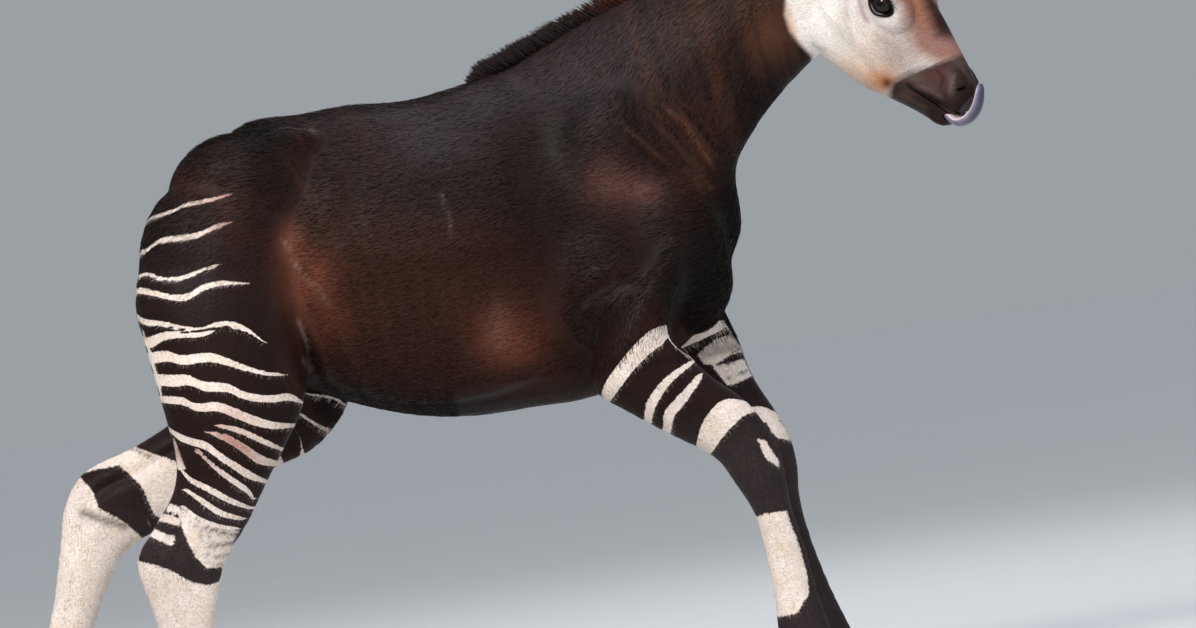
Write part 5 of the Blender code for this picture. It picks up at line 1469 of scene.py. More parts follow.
class Nodes:
    """Short calls that add nodes to one material."""

    def __init__(self, name):
        self.made = bpy.data.materials.new(name)
        self.made.use_nodes = True
        self.tree = self.made.node_tree
        self.shader = self.tree.nodes["Principled BSDF"]

    def link(self, value, socket):
        if isinstance(value, bpy.types.NodeSocket):
            self.tree.links.new(value, socket)
        else:
            socket.default_value = value

    def field(self, name):
        node = self.tree.nodes.new("ShaderNodeAttribute")
        node.attribute_name = name
        return node.outputs["Fac"]

    def tone(self, name):
        node = self.tree.nodes.new("ShaderNodeAttribute")
        node.attribute_name = name
        return node.outputs["Color"]

    def place(self):
        node = self.tree.nodes.new("ShaderNodeTexCoord")
        return node.outputs["Object"]

    def stretch(self, vector, scale):
        node = self.tree.nodes.new("ShaderNodeMapping")
        self.link(vector, node.inputs["Vector"])
        node.inputs["Scale"].default_value = scale
        return node.outputs["Vector"]

    def noise(self, vector, scale, detail=3.0, rough=0.55):
        node = self.tree.nodes.new("ShaderNodeTexNoise")
        self.link(vector, node.inputs["Vector"])
        node.inputs["Scale"].default_value = scale
        node.inputs["Detail"].default_value = detail
        node.inputs["Roughness"].default_value = rough
        return node.outputs["Fac"]

    def math(self, operation, a, b=0.0, c=0.0, clamp=False):
        node = self.tree.nodes.new("ShaderNodeMath")
        node.operation = operation
        node.use_clamp = clamp
        for value, socket in zip((a, b, c), node.inputs):
            self.link(value, socket)
        return node.outputs[0]

    def ramp(self, value, low, high, to_low=0.0, to_high=1.0):
        node = self.tree.nodes.new("ShaderNodeMapRange")
        node.interpolation_type = "SMOOTHSTEP"
        self.link(value, node.inputs["Value"])
        node.inputs["From Min"].default_value = low
        node.inputs["From Max"].default_value = high
        node.inputs["To Min"].default_value = to_low
        node.inputs["To Max"].default_value = to_high
        return node.outputs["Result"]

    def mix(self, share, a, b, blend="MIX"):
        node = self.tree.nodes.new("ShaderNodeMix")
        node.data_type = "RGBA"
        node.blend_type = blend
        self.link(share, node.inputs[0])
        self.link(a, node.inputs[6])
        self.link(b, node.inputs[7])
        return node.outputs[2]

    def bump(self, height, distance, strength=1.0, under=None):
        node = self.tree.nodes.new("ShaderNodeBump")
        node.inputs["Strength"].default_value = strength
        node.inputs["Distance"].default_value = distance
        self.link(height, node.inputs["Height"])
        if under is not None:
            self.link(under, node.inputs["Normal"])
        return node.outputs["Normal"]

    def finish(self, colour, rough, normal=None, **sockets):
        self.link(colour, self.shader.inputs["Base Color"])
        self.link(rough, self.shader.inputs["Roughness"])
        if normal is not None:
            self.link(normal, self.shader.inputs["Normal"])
        for name, value in sockets.items():
            self.shader.inputs[name.replace("_", " ")].default_value = value
        return self.made


WHITE = (0.80, 0.69, 0.63, 1.0)
CREAM = (0.74, 0.60, 0.48, 1.0)
PINK = (0.40, 0.20, 0.16, 1.0)
SOIL = (0.030, 0.021, 0.021, 1.0)


def coat_material(name, tufted):
    n = Nodes(name)
    at = n.place()
    ragged = n.noise(at, 260.0, 3.0, 0.6)
    broad = n.noise(at, 11.0, 4.0, 0.55)
    middle = n.noise(at, 46.0, 4.0, 0.6)
    hairs = n.noise(n.stretch(at, (160.0, 620.0, 420.0)), 1.0, 2.0, 0.6)
    rag = n.math("MULTIPLY", n.math("SUBTRACT", ragged, 0.5), 0.0040)
    stripe = n.field("stripe")
    nearest = n.math("MINIMUM", n.math("MAXIMUM", n.math("ROUND", stripe), 0.0), n.field("last"))
    off = n.math("MULTIPLY", n.math("ABSOLUTE", n.math("SUBTRACT", stripe, nearest)), n.field("apart"))
    depth = n.math("ADD", n.math("SUBTRACT", n.field("wide"), off), rag)
    white = n.ramp(depth, -0.0006, 0.0007)
    patch = n.ramp(n.math("ADD", n.field("patch"), n.math("MULTIPLY", rag, 1.6)), -0.0012, 0.0014)
    white = n.math("MAXIMUM", white, patch)
    pale = n.mix(n.ramp(middle, 0.35, 0.80), WHITE, CREAM)
    pale = n.mix(n.field("tint"), pale, PINK)
    pale = n.mix(n.field("soil"), pale, SOIL)
    colour = n.mix(white, n.tone("tone"), pale)
    shade = n.math("MULTIPLY", n.ramp(hairs, 0.25, 0.75, 0.80, 1.20), n.ramp(broad, 0.25, 0.75, 0.86, 1.14))
    if tufted:
        shade = n.math("MULTIPLY", shade, n.field("shade"))
    shade = n.math("ADD", n.math("MULTIPLY", shade, 0.85), 0.15)
    grey_shade = n.tree.nodes.new("ShaderNodeCombineColor")
    for socket in grey_shade.inputs:
        n.link(shade, socket)
    colour = n.mix(1.0, colour, grey_shade.outputs[0], "MULTIPLY")
    rough = n.math("ADD", n.math("MULTIPLY", white, 0.20), n.ramp(middle, 0.2, 0.8, 0.42, 0.56))
    normal = None
    if not tufted:
        normal = n.bump(hairs, 0.0009, 0.55)
        normal = n.bump(middle, 0.0016, 0.20, normal)
    return n.finish(colour, rough, normal, Specular_IOR_Level=0.11)


def lie_samples():
    """Places on the axes of the trunk, neck, head and limbs with the lie of the coat there."""
    places = []
    ways = []
    reach = []

    def add(sections, span, flip, droop, size):
        rows = section_table(sections, span)
        middle = np.stack([(rows[:, 0] + rows[:, 2]) / 2, rows[:, 4], (rows[:, 1] + rows[:, 3]) / 2], axis=1)
        step = unit(np.gradient(middle, axis=0)) * flip
        step = unit(step + np.array((0.0, 0.0, -droop)))
        places.append(middle)
        ways.append(step)
        reach.append(np.full(len(middle), size))

    add(TORSO[1:-1], 3, -1.0, 0.30, 0.16)
    add(NECK[1:], 3, -1.0, 0.45, 0.10)
    for sections in (FORE_RIGHT, FORE_LEFT, HIND_RIGHT, HIND_LEFT):
        add(sections[1:], 3, 1.0, 0.15, 0.07)
    head_rows = head_world([(a, 0.0, -0.02) for a in np.linspace(0.0, 0.28, 10)])
    places.append(head_rows)
    ways.append(np.tile(-HEAD_TURN[:, 0], (10, 1)))
    reach.append(np.full(10, 0.07))
    return np.vstack(places), np.vstack(ways), np.concatenate(reach)


def lie_of(points, normals):
    places, ways, reach = lie_samples()
    out = np.zeros_like(points)
    for start in range(0, len(points), 20000):
        part = points[start:start + 20000]
        gap = np.linalg.norm(part[:, None] - places[None], axis=2) / reach[None]
        weight = 1 / (gap ** 5 + 1e-3)
        out[start:start + 20000] = (weight[:, :, None] * ways[None]).sum(axis=1)
    local = head_local(points)
    for side in (-1, 1):
        along, face, across = ear_axes(side)
        along = HEAD_TURN @ np.array(along)
        own = ear_share(points) * (local[:, 1] * side > 0)
        out = unit(out) * (1 - own[:, None]) + along * own[:, None]
    tail = tail_share(points)
    out = unit(out) * (1 - tail[:, None]) + np.array((-0.05, 0.0, -1.0)) * tail[:, None]
    out = out - normals * (out * normals).sum(axis=1, keepdims=True)
    return unit(out)


def tail_share(points):
    gap, along = line_distance(points, [p for p, r in TAIL])
    return (gap < 0.024) * smooth(along, 0.06, 0.16)


def scatter(mesh, density, seed):
    """Places on the skin, about density(points) to the square metre, with their normals."""
    chance = np.random.default_rng(seed)
    mesh.calc_loop_triangles()
    tris = np.empty(len(mesh.loop_triangles) * 3, dtype=int)
    mesh.loop_triangles.foreach_get("vertices", tris)
    tris = tris.reshape(-1, 3)
    points = points_of(mesh)
    normals = normals_of(mesh)
    a, b, c = points[tris[:, 0]], points[tris[:, 1]], points[tris[:, 2]]
    area = np.linalg.norm(np.cross(b - a, c - a), axis=1) / 2
    wanted = area * density((a + b + c) / 3, unit(np.cross(b - a, c - a)))
    number = np.floor(wanted + chance.random(len(wanted))).astype(int)
    pick = np.repeat(np.arange(len(tris)), number)
    r1 = np.sqrt(chance.random(len(pick)))
    r2 = chance.random(len(pick))
    w = np.stack([1 - r1, r1 * (1 - r2), r1 * r2], axis=1)
    at = (points[tris[pick]] * w[:, :, None]).sum(axis=1)
    way = unit((normals[tris[pick]] * w[:, :, None]).sum(axis=1))
    return at, way


def axis_chart(points, line, low=0.0, high=1.0):
    """Unwrap round a line: share along it and angle about it, both in 0 to 1."""
    line = np.asarray(line, dtype=float)
    gap, along = line_distance(points, line)
    last = len(line) - 1
    spot = np.clip(along * last, 0, last - 1e-6)
    i = spot.astype(int)
    base = line[i] + (line[i + 1] - line[i]) * (spot - i)[:, None]
    step = unit(np.gradient(line, axis=0))[i]
    side = np.array((0.0, 1.0, 0.0))
    rise = unit(np.cross(step, side))
    flat = np.cross(rise, step)
    out = points - base
    angle = np.arctan2((out * rise).sum(axis=1), (out * flat).sum(axis=1)) / (2 * math.pi) + 0.5
    return np.stack([0.01 + 0.98 * along, 0.01 + 0.98 * angle], axis=1)


UV_HALF = 0.0015
TUFT_SUNK = 0.0005


def tuft_piece(name, roots, faces_dir, ways, lengths, widths, thick, bend, spans, fields, uv, chance,
               material):
    """Closed tapered tufts as one mesh. Each starts at its root, runs its way and bends by bend."""
    count = len(roots)
    ways = unit(ways)
    wide_dir = unit(np.cross(faces_dir, ways))
    rings = []
    for s in range(spans):
        t = s / spans
        taper = 1.0 - 0.30 * t if s else 0.85
        middle = roots + ways * (lengths * t)[:, None] + bend * (lengths * t * t)[:, None]
        half = wide_dir * (widths * taper / 2)[:, None]
        rings.append(np.stack([middle - half, middle + half, middle + faces_dir * (thick * taper)[:, None]],
                              axis=1))
    tips = roots + ways * lengths[:, None] + bend * lengths[:, None]
    verts = np.concatenate([np.concatenate(rings, axis=1), tips[:, None]], axis=1)
    per = 3 * spans + 1
    quads = []
    tris = [(0, 1, 2)]
    for s in range(spans - 1):
        for j in range(3):
            k = (j + 1) % 3
            quads.append((3 * s + j, 3 * (s + 1) + j, 3 * (s + 1) + k, 3 * s + k))
    top = 3 * (spans - 1)
    for j in range(3):
        tris.append((top + j, per - 1, top + (j + 1) % 3))
    base = (np.arange(count) * per)[:, None, None]
    all_tris = (np.array(tris)[None] + base).reshape(-1, 3)
    loops = [all_tris.ravel()]
    sizes = [np.full(len(all_tris), 3)]
    if quads:
        all_quads = (np.array(quads)[None] + base).reshape(-1, 4)
        loops.append(all_quads.ravel())
        sizes.append(np.full(len(all_quads), 4))
    loops = np.concatenate(loops)
    sizes = np.concatenate(sizes)
    mesh = bpy.data.meshes.new(name)
    mesh.vertices.add(count * per)
    mesh.vertices.foreach_set("co", verts.reshape(-1))
    mesh.loops.add(len(loops))
    mesh.loops.foreach_set("vertex_index", loops.astype(np.int32))
    mesh.polygons.add(len(sizes))
    mesh.polygons.foreach_set("loop_start", np.concatenate([[0], np.cumsum(sizes)[:-1]]).astype(np.int32))
    mesh.polygons.foreach_set("use_smooth", np.ones(len(sizes), dtype=bool))
    mesh.update(calc_edges=True)
    patch = []
    for s in range(spans):
        y = -UV_HALF + 2 * UV_HALF * s / spans
        patch += [(-UV_HALF, y), (UV_HALF, y), (0.0, y + 0.6 * UV_HALF / spans)]
    patch.append((0.0, UV_HALF))
    where = (uv[:, None, :] + np.array(patch)[None]).reshape(-1, 2)
    layer = mesh.uv_layers.new(name="OFBake")
    layer.uv.foreach_set("vector", where[loops].astype(np.float32).ravel())
    fields = dict(fields)
    fields["shade"] = chance.uniform(0.72, 1.30, count)
    store(mesh, {key: np.repeat(values, per, axis=0) for key, values in fields.items()})
    mesh.materials.append(material)
    made = bpy.data.objects.new(name, mesh)
    bpy.context.scene.collection.objects.link(made)
    finish_piece(made)
    return made


def finish_piece(obj):
    set_points(obj.data, points_of(obj.data) + np.array(SHIFT))
    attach(obj, "root")


COATS = {
    "coat_trunk_right": ("coat", [(0.17, 0, 0.65), (0.0, 0, 0.68), (-0.25, 0, 0.69), (-0.55, 0, 0.74)]),
    "coat_trunk_left": ("coat", [(0.17, 0, 0.65), (0.0, 0, 0.68), (-0.25, 0, 0.69), (-0.55, 0, 0.74)]),
    "coat_neck": ("coat", [(0.38, -0.05, 0.98), (0.28, -0.02, 0.94), (0.14, 0, 0.88), (0.02, 0, 0.78)]),
    "coat_head": ("face", None),
    "coat_ear_right": ("face", -1),
    "coat_ear_left": ("face", 1),
    "coat_foreleg_right": ("stocking", "fore_right"),
    "coat_foreleg_left": ("stocking", "fore_left"),
    "coat_hindleg_right": ("stocking", "hind_right"),
    "coat_hindleg_left": ("stocking", "hind_left"),
}


def coat_part(points):
    """The number of the coat piece that each place belongs to, in the order of COATS."""
    local = head_local(points)
    part = np.where(points[:, 1] < 0, 0, 1)
    neck = (points[:, 0] - 0.03) * 0.62 + (points[:, 2] - 0.78) * 0.78 > 0.03
    neck &= points[:, 0] > -0.10
    part = np.where(neck, 2, part)
    head = (local[:, 0] > -0.010) & (np.linalg.norm(points - HEAD_MIDDLE, axis=1) < 0.42)
    ear = ear_share(points) > 0.5
    head |= ear
    part = np.where(head, 3, part)
    part = np.where(ear, np.where(local[:, 1] < 0, 4, 5), part)
    fore = (points[:, 0] > -0.2) & (points[:, 2] < 0.50 + 0.25 * (points[:, 0] - 0.05))
    fore &= np.abs(points[:, 1]) > 0.03
    belly = (points[:, 0] < 0.0) & (points[:, 0] > -0.2)
    part = np.where(fore & ~belly & ~head, np.where(points[:, 1] < 0, 6, 7), part)
    hind = (points[:, 0] < -0.40) & (points[:, 2] < 0.76)
    hind |= (points[:, 0] < -0.33) & (points[:, 2] < 0.50)
    return np.where(hind, np.where(points[:, 1] < 0, 8, 9), part)


def make_coat(skin, material):
    thin = 1.0

    def density(places, ways):
        face = head_share(places)
        low = 1 - smooth(places[:, 2], 0.34, 0.46)
        amount = 148000.0 * (1 - face) * (1 - low) + 300000.0 * face + 190000.0 * low * (1 - face)
        bare = bare_share(places)
        return amount * (1 - bare) * thin

    roots, normals = scatter(skin, density, 5)
    chance = np.random.default_rng(9)
    lie = lie_of(roots, normals)
    side = np.cross(normals, lie)
    turn = chance.normal(0.0, 0.16, len(roots))[:, None]
    lie = unit(lie + side * turn)
    fields = markings(roots, normals)
    face = head_share(roots)
    low = 1 - smooth(roots[:, 2], 0.30, 0.46)
    length = (0.0105 * (1 - face) + 0.0048 * face) * (1 - 0.35 * low * (1 - face))
    near_muzzle = smooth(head_local(roots)[:, 0], 0.19, 0.24) * face
    length *= 1 - 0.45 * near_muzzle
    striped = smooth(-roots[:, 2], -0.80, -0.62) * (roots[:, 0] < -0.40) + (roots[:, 2] < 0.5) * (roots[:,
                                                                                                        0] > -0.2)
    length *= 1 - 0.35 * np.clip(striped, 0, 1) * (1 - low)
    length = length * chance.uniform(0.75, 1.25, len(roots))
    width = length * 0.112 * chance.uniform(0.8, 1.2, len(roots))
    lift = chance.uniform(0.10, 0.24, len(roots))
    edge = fringe_share(roots, normals)
    length *= 1 + 0.5 * edge
    lift += 0.30 * edge
    lift += 0.05 * (1 - face)
    ways = unit(lie + normals * lift[:, None])
    face_dir = unit(normals - ways * (normals * ways).sum(axis=1, keepdims=True))
    bend = lie * 0.05 - normals * (lift * 0.55)[:, None]
    part = coat_part(roots)
    for number, (name, (slot, axis)) in enumerate(COATS.items()):
        own = np.nonzero(part == number)[0]
        if axis is None:
            axis = head_world([(a, 0.0, -0.02) for a in np.linspace(-0.02, 0.29, 8)])
        elif isinstance(axis, int):
            along = np.array(ear_axes(axis)[0])
            root = np.array((EAR_ROOT.x, axis * EAR_ROOT.y, EAR_ROOT.z))
            axis = head_world([root + along * EAR_LENGTH * a for a in np.linspace(-0.1, 1.05, 8)])
        elif isinstance(axis, str):
            rows = LIMBS[axis][::LIMB_SPAN]
            axis = np.stack([(rows[:, 0] + rows[:, 2]) / 2, rows[:, 4], (rows[:, 1] + rows[:, 3]) / 2],
                            axis=1)
        tuft_piece(name, (roots - normals * TUFT_SUNK)[own], face_dir[own], ways[own], length[own],
                   width[own],
                   width[own] * 0.45, bend[own], 1, {k: v[own] for k, v in fields.items()},
                   axis_chart(roots[own], axis), chance, material)


def bare_share(points):
    """Where no hair grows: the nose, the lips' edge, inside the eye, mouth and nostrils."""
    local = head_local(points)
    y = np.abs(local[:, 1])
    nose = np.linalg.norm(np.stack([local[:, 0] - 0.286, y, local[:, 2] + 0.036], axis=1), axis=1)
    bare = 1 - smooth(nose, 0.012, 0.020)
    eye = np.linalg.norm(np.stack([local[:, 0], y, local[:, 2]], axis=1) - np.array(EYE_PLACE), axis=1)
    bare = np.maximum(bare, (eye < EYE_RADIUS + 0.0009) * 1.0)
    bare = np.maximum(bare, 1 - smooth(eye_gap(points), 0.0016, 0.0030))
    run = MOUTH_FRONT - MOUTH_CORNER
    slope = run.z / run.x
    line = MOUTH_CORNER.z + (local[:, 0] - MOUTH_CORNER.x) * slope
    slit = (local[:, 0] > MOUTH_CORNER.x) & (np.abs(local[:, 2] - line) < 0.0032)
    bare = np.maximum(bare, slit * (np.linalg.norm(local, axis=1) < 0.33))
    nostril = np.linalg.norm(np.stack([local[:, 0], y, local[:, 2]], axis=1) - np.array(NOSTRIL_PLACE),
                             axis=1)
    bare = np.maximum(bare, 1 - smooth(nostril, 0.007, 0.011))
    return bare


def fringe_share(points, normals):
    """Longer hair along the back, the brisket and the ears' edges."""
    back = smooth(points[:, 2], 0.84, 0.88) * smooth(normals[:, 2], 0.75, 0.95) * (points[:, 0] < 0.02)
    chest = smooth(points[:, 0], 0.12, 0.17) * (points[:, 2] < 0.72) * (points[:, 2] > 0.5)
    return np.clip(0.8 * back + 0.3 * chest + ear_edge(points), 0, 1)


def ear_edge(points):
    """1 along the two edges of each ear."""
    local = head_local(points)
    share = np.zeros(len(points))
    for side in (-1, 1):
        along, face, across = (np.array(v) for v in ear_axes(side))
        own = local - np.array((EAR_ROOT.x, side * EAR_ROOT.y, EAR_ROOT.z))
        t = own @ along / EAR_LENGTH
        width = EAR_WIDTH * np.interp(t, *zip(*EAR_SPREAD))
        roll = np.radians(np.interp(t, *zip(*EAR_ROLL)))
        bend = np.where(roll < math.pi / 2, width / np.sin(np.minimum(roll, math.pi / 2)), width)
        ahead = own @ face - 0.010 * np.sin(math.pi * np.clip(t, 0, 1)) - bend * np.cos(roll)
        turn = np.abs(np.arctan2(own @ across, -ahead)) / roll
        near = smooth(turn, 0.86, 0.97) * smooth(t, 0.10, 0.25) * (t < 1.05) * (local[:, 1] * side > 0)
        share = np.maximum(share, near * (np.linalg.norm(own, axis=1) < 1.2 * EAR_LENGTH))
    return share


def make_mane(material):
    chance = np.random.default_rng(21)
    rows = curve_rows(CREST, 12)
    count = 3600
    t = chance.random(count)
    spot = t * (len(rows) - 1)
    i = np.minimum(spot.astype(int), len(rows) - 2)
    at = rows[i] + (rows[i + 1] - rows[i]) * (spot - i)[:, None]
    step = unit(np.gradient(rows, axis=0))[i]
    side = unit(np.cross(np.array((0.0, 0.0, 1.0)), step))
    up = np.cross(step, side)
    off = chance.normal(0.0, 0.42, count).clip(-1, 1)
    roots = at + side * (off * 0.0085)[:, None] - up * (0.004 + 0.003 * off ** 2)[:, None]
    ends = np.minimum(1.0, 0.45 + 5.0 * t) * np.minimum(1.0, 0.50 + 6.0 * (1 - t))
    length = (MANE_HEIGHT * chance.uniform(0.70, 1.12, count) + 0.005) * ends * (1 - 0.25 * np.abs(off))
    clump = np.sin(t * 260.0 + 3.0 * np.sin(t * 71.0))
    lean = -0.40 + 0.14 * clump + chance.normal(0.0, 0.10, count)
    roll = off * 0.38 + chance.normal(0.0, 0.07, count)
    ways = unit(up + step * lean[:, None] + side * roll[:, None])
    bend = step * chance.uniform(-0.30, -0.02, count)[:, None] + side * (0.10 * clump)[:, None]
    face_dir = unit(side - ways * (side * ways).sum(axis=1, keepdims=True))
    fields = markings(roots, up)
    fields["stripe"][:] = -9.0
    fields["patch"][:] = -0.05
    tone = np.tile(np.array(MAROON), (count, 1))
    tone = blend(tone, 0.35 * (1 - smooth(t, 0.40, 0.62)), GREY)
    tone = blend(tone, 0.75 * smooth(t, 0.42, 0.62) * (1 - 0.6 * smooth(t, 0.75, 0.95)), RED)
    fields["tone"] = blend(tone, chance.uniform(0, 0.35, count), DARK)
    uv = np.stack([0.01 + 0.98 * t, 0.5 + 0.4 * off], axis=1)
    made = tuft_piece("mane_hair", roots, face_dir, ways, length, chance.uniform(0.0014, 0.0026, count),
                      np.full(count, 0.0006), bend, 3, fields, uv, chance, material)
    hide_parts("mane")


def make_tail_hair(material):
    chance = np.random.default_rng(33)
    rows = curve_rows([tuple(p) + (r,) for p, r in TAIL], 8)
    count = 1700
    t = chance.uniform(0.52, 0.97, count)
    spot = t * (len(rows) - 1)
    i = np.minimum(spot.astype(int), len(rows) - 2)
    at = rows[i, :3] + (rows[i + 1, :3] - rows[i, :3]) * (spot - i)[:, None]
    step = unit(np.gradient(rows[:, :3], axis=0))[i]
    angle = chance.uniform(0, 2 * math.pi, count)
    out = np.stack([np.cos(angle), np.sin(angle), np.zeros(count)], axis=1)
    out = unit(out - step * (out * step).sum(axis=1, keepdims=True))
    roots = at + out * (TAIL_RADIUS * 0.55 * rows[i, 3])[:, None]
    ways = unit(step + out * chance.uniform(0.02, 0.15, count)[:, None])
    length = chance.uniform(0.045, 0.080, count) * (1.0 - 0.35 * smooth(t, 0.6, 0.97))
    bend = -out * chance.uniform(0.02, 0.10, count)[:, None]
    fields = markings(roots, out)
    for key in ("patch", "stripe"):
        fields[key][:] = -9.0 if key == "stripe" else -0.05
    fields["tone"] = blend(np.tile(np.array(MAROON), (count, 1)), chance.uniform(0, 0.5, count), DARK)
    uv = np.stack([0.01 + 0.98 * t, 0.01 + 0.98 * angle / (2 * math.pi)], axis=1)
    face_dir = unit(out - ways * (out * ways).sum(axis=1, keepdims=True))
    tuft_piece("tail_hair", roots, face_dir, ways, length, chance.uniform(0.0012, 0.0022, count),
               np.full(count, 0.0006), bend, 3, fields, uv, chance, material)


def eye_material():
    n = Nodes("eye_wet")
    radius = n.field("radius")
    fibres = n.noise(n.place(), 900.0, 3.0, 0.7)
    colour = n.mix(n.ramp(fibres, 0.35, 0.7), (0.010, 0.006, 0.005, 1.0), (0.032, 0.015, 0.009, 1.0))
    colour = n.mix(n.ramp(n.field("pupil"), 0.95, 1.05), (0.0015, 0.0012, 0.0015, 1.0), colour)
    colour = n.mix(n.ramp(radius, 0.80, 0.92), colour, (0.006, 0.004, 0.004, 1.0))
    return n.finish(colour, 0.04, None, Specular_IOR_Level=0.27)


def make_eye(word, side, material):
    """The eyeball with a low cornea, its pole out of the socket."""
    out, front, up = eye_axes(side)
    middle = Vector((EYE_PLACE.x, side * EYE_PLACE.y, EYE_PLACE.z))
    rings = []
    radius_field, pupil_field = [], []
    levels = 40
    ring = 56
    for i in range(levels):
        polar = 0.012 + (math.pi - 0.024) * i / (levels - 1)
        bulge = 0.0009 * math.exp(-(polar / 0.55) ** 4)
        points = []
        for k in range(ring):
            t = 2 * math.pi * k / ring
            spread = math.sin(polar)
            place = out * math.cos(polar) + front * (spread * math.cos(t)) + up * (spread * math.sin(t))
            points.append(tuple(HEAD @ (middle + place * (EYE_RADIUS + bulge))))
            radius_field.append(min(polar / 0.75, 1.5))
            pupil_field.append(math.hypot(spread * math.cos(t) / 0.42, spread * math.sin(t) / 0.20)
                               + (polar > 1.5) * 9)
        rings.append(points)
    verts, faces = loft_mesh(np.array(rings))
    eye = object_of("eyeball_" + word, verts, faces)
    radius_field += [0.0, 1.5]
    pupil_field += [0.0, 9.0]
    store(eye.data, {"radius": np.array(radius_field), "pupil": np.array(pupil_field)})
    for face in eye.data.polygons:
        face.use_smooth = True
    eye.data.materials.append(material)
    finish_piece(eye)
    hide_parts("eye_" + word)


def skin_rim_material():
    n = Nodes("bare_skin")
    at = n.place()
    fine = n.noise(at, 700.0, 4.0, 0.6)
    colour = n.mix(fine, (0.004, 0.003, 0.003, 1.0), (0.020, 0.014, 0.014, 1.0))
    # Pale grey on the inner side of the lower rim: a painted highlight.
    colour = n.mix(n.field("moist"), colour, (0.26, 0.24, 0.26, 1.0))
    normal = n.bump(fine, 0.0005, 0.4)
    return n.finish(colour, n.ramp(fine, 0.2, 0.8, 0.22, 0.42), normal)


def lid_line(side, grow, count):
    """Places round the eye's opening, on the ball, in the head's frame."""
    out, front, up = eye_axes(side)
    middle = Vector((EYE_PLACE.x, side * EYE_PLACE.y, EYE_PLACE.z))
    line = []
    for x, z in almond(side, grow, count):
        depth = math.sqrt(max((EYE_RADIUS + 0.0016) ** 2 - x * x - z * z, 1e-6))
        line.append(np.array(middle + out * depth + front * x + up * z))
    return np.array(line)


def make_lids(word, side, material):
    """A wet rim round the eye's opening; the pale grey on the inner side of its lower part is a painted
    highlight.
    """
    out, front, up = eye_axes(side)
    middle = Vector((EYE_PLACE.x, side * EYE_PLACE.y, EYE_PLACE.z))
    line = lid_line(side, 0.0002, 72)
    step = unit(np.roll(line, -1, axis=0) - np.roll(line, 1, axis=0))
    away = unit(line - np.array(middle))
    flat = unit(np.cross(step, away))
    rings = []
    for k in range(10):
        a = 2 * math.pi * k / 10
        rings.append(line + away * (0.0017 * math.sin(a)) + flat * (0.0013 * math.cos(a)))
    rings = np.array(rings).transpose(1, 0, 2)
    count, per = rings.shape[:2]
    verts = [tuple(p) for p in head_world(rings.reshape(-1, 3))]
    faces = []
    for i in range(count):
        j = (i + 1) % count
        for k in range(per):
            m = (k + 1) % per
            faces.append((i * per + k, i * per + m, j * per + m, j * per + k))
    rim = object_of("eyelid_" + word, verts, faces)
    away_from_rim = rings - line[:, None, :]
    # The inner side of the lower rim gets a painted highlight.
    low = smooth(-((line - np.array(middle)) @ np.array(up)), 0.0085, 0.0130)
    to_middle = unit(np.array(middle) + np.array(out) * EYE_RADIUS - line)
    inward = (away_from_rim * to_middle[:, None, :]).sum(axis=2)
    store(rim.data, {"moist": (smooth(inward, 0.0001, 0.0010) * low[:, None]).reshape(-1)})
    for face in rim.data.polygons:
        face.use_smooth = True
    rim.data.materials.append(material)
    finish_piece(rim)


LASHES = 54


def make_lashes(word, side, material):
    """Lashes of the upper lid, longest over its middle, bent up."""
    chance = np.random.default_rng(41)
    out, front, up = (np.array(v) for v in eye_axes(side))
    line = lid_line(side, 0.0010, 2 * LASHES)[4:LASHES - 3]
    count = len(line)
    share = np.linspace(0, 1, count)
    roots = line + chance.normal(0, 0.0003, (count, 3))
    spread = (roots - np.array((EYE_PLACE.x, side * EYE_PLACE.y, EYE_PLACE.z))) @ front
    ways = unit(out * 1.0 + up * 0.25 + front[None] * (spread / 0.03)[:, None]
                + chance.normal(0, 0.06, (count, 3)))
    length = (0.0055 + 0.0055 * np.sin(math.pi * share)) * chance.uniform(0.85, 1.15, count)
    to_world = HEAD_TURN.T
    roots_world = head_world(roots)
    ways = ways @ to_world
    faces_dir = unit(np.tile(front @ to_world, (count, 1)))
    faces_dir = unit(faces_dir - ways * (faces_dir * ways).sum(axis=1, keepdims=True))
    fields = markings(roots_world, ways)
    fields["tone"] = np.tile(np.array(EYE_SKIN), (count, 1))
    axis = head_world([(a, 0.0, -0.02) for a in np.linspace(-0.02, 0.29, 8)])
    bend = np.tile((up * 0.42 - out * 0.15) @ to_world, (count, 1))
    tuft_piece("lashes_" + word, roots_world, faces_dir, ways, length, np.full(count, 0.0007),
               np.full(count, 0.0005), bend, 3, fields, axis_chart(roots_world,
                                                                   axis), chance, material)


def tongue_material():
    n = Nodes("tongue_wet")
    at = n.place()
    fine = n.noise(at, 1300.0, 3.0, 0.6)
    broad = n.noise(at, 90.0, 3.0, 0.6)
    colour = n.mix(n.ramp(broad, 0.3, 0.7), (0.16, 0.13, 0.22, 1.0), (0.24, 0.20, 0.27, 1.0))
    colour = n.mix(n.field("edge"), colour, (0.70, 0.55, 0.58, 1.0))
    colour = n.mix(n.field("outer"), colour, (0.035, 0.035, 0.085, 1.0))
    normal = n.bump(fine, 0.0007, 0.6)
    return n.finish(colour, n.ramp(fine, 0.2, 0.8, 0.22, 0.40), normal, Coat_Weight=0.35, Coat_Roughness=0.15,
                    Subsurface_Weight=0.0)


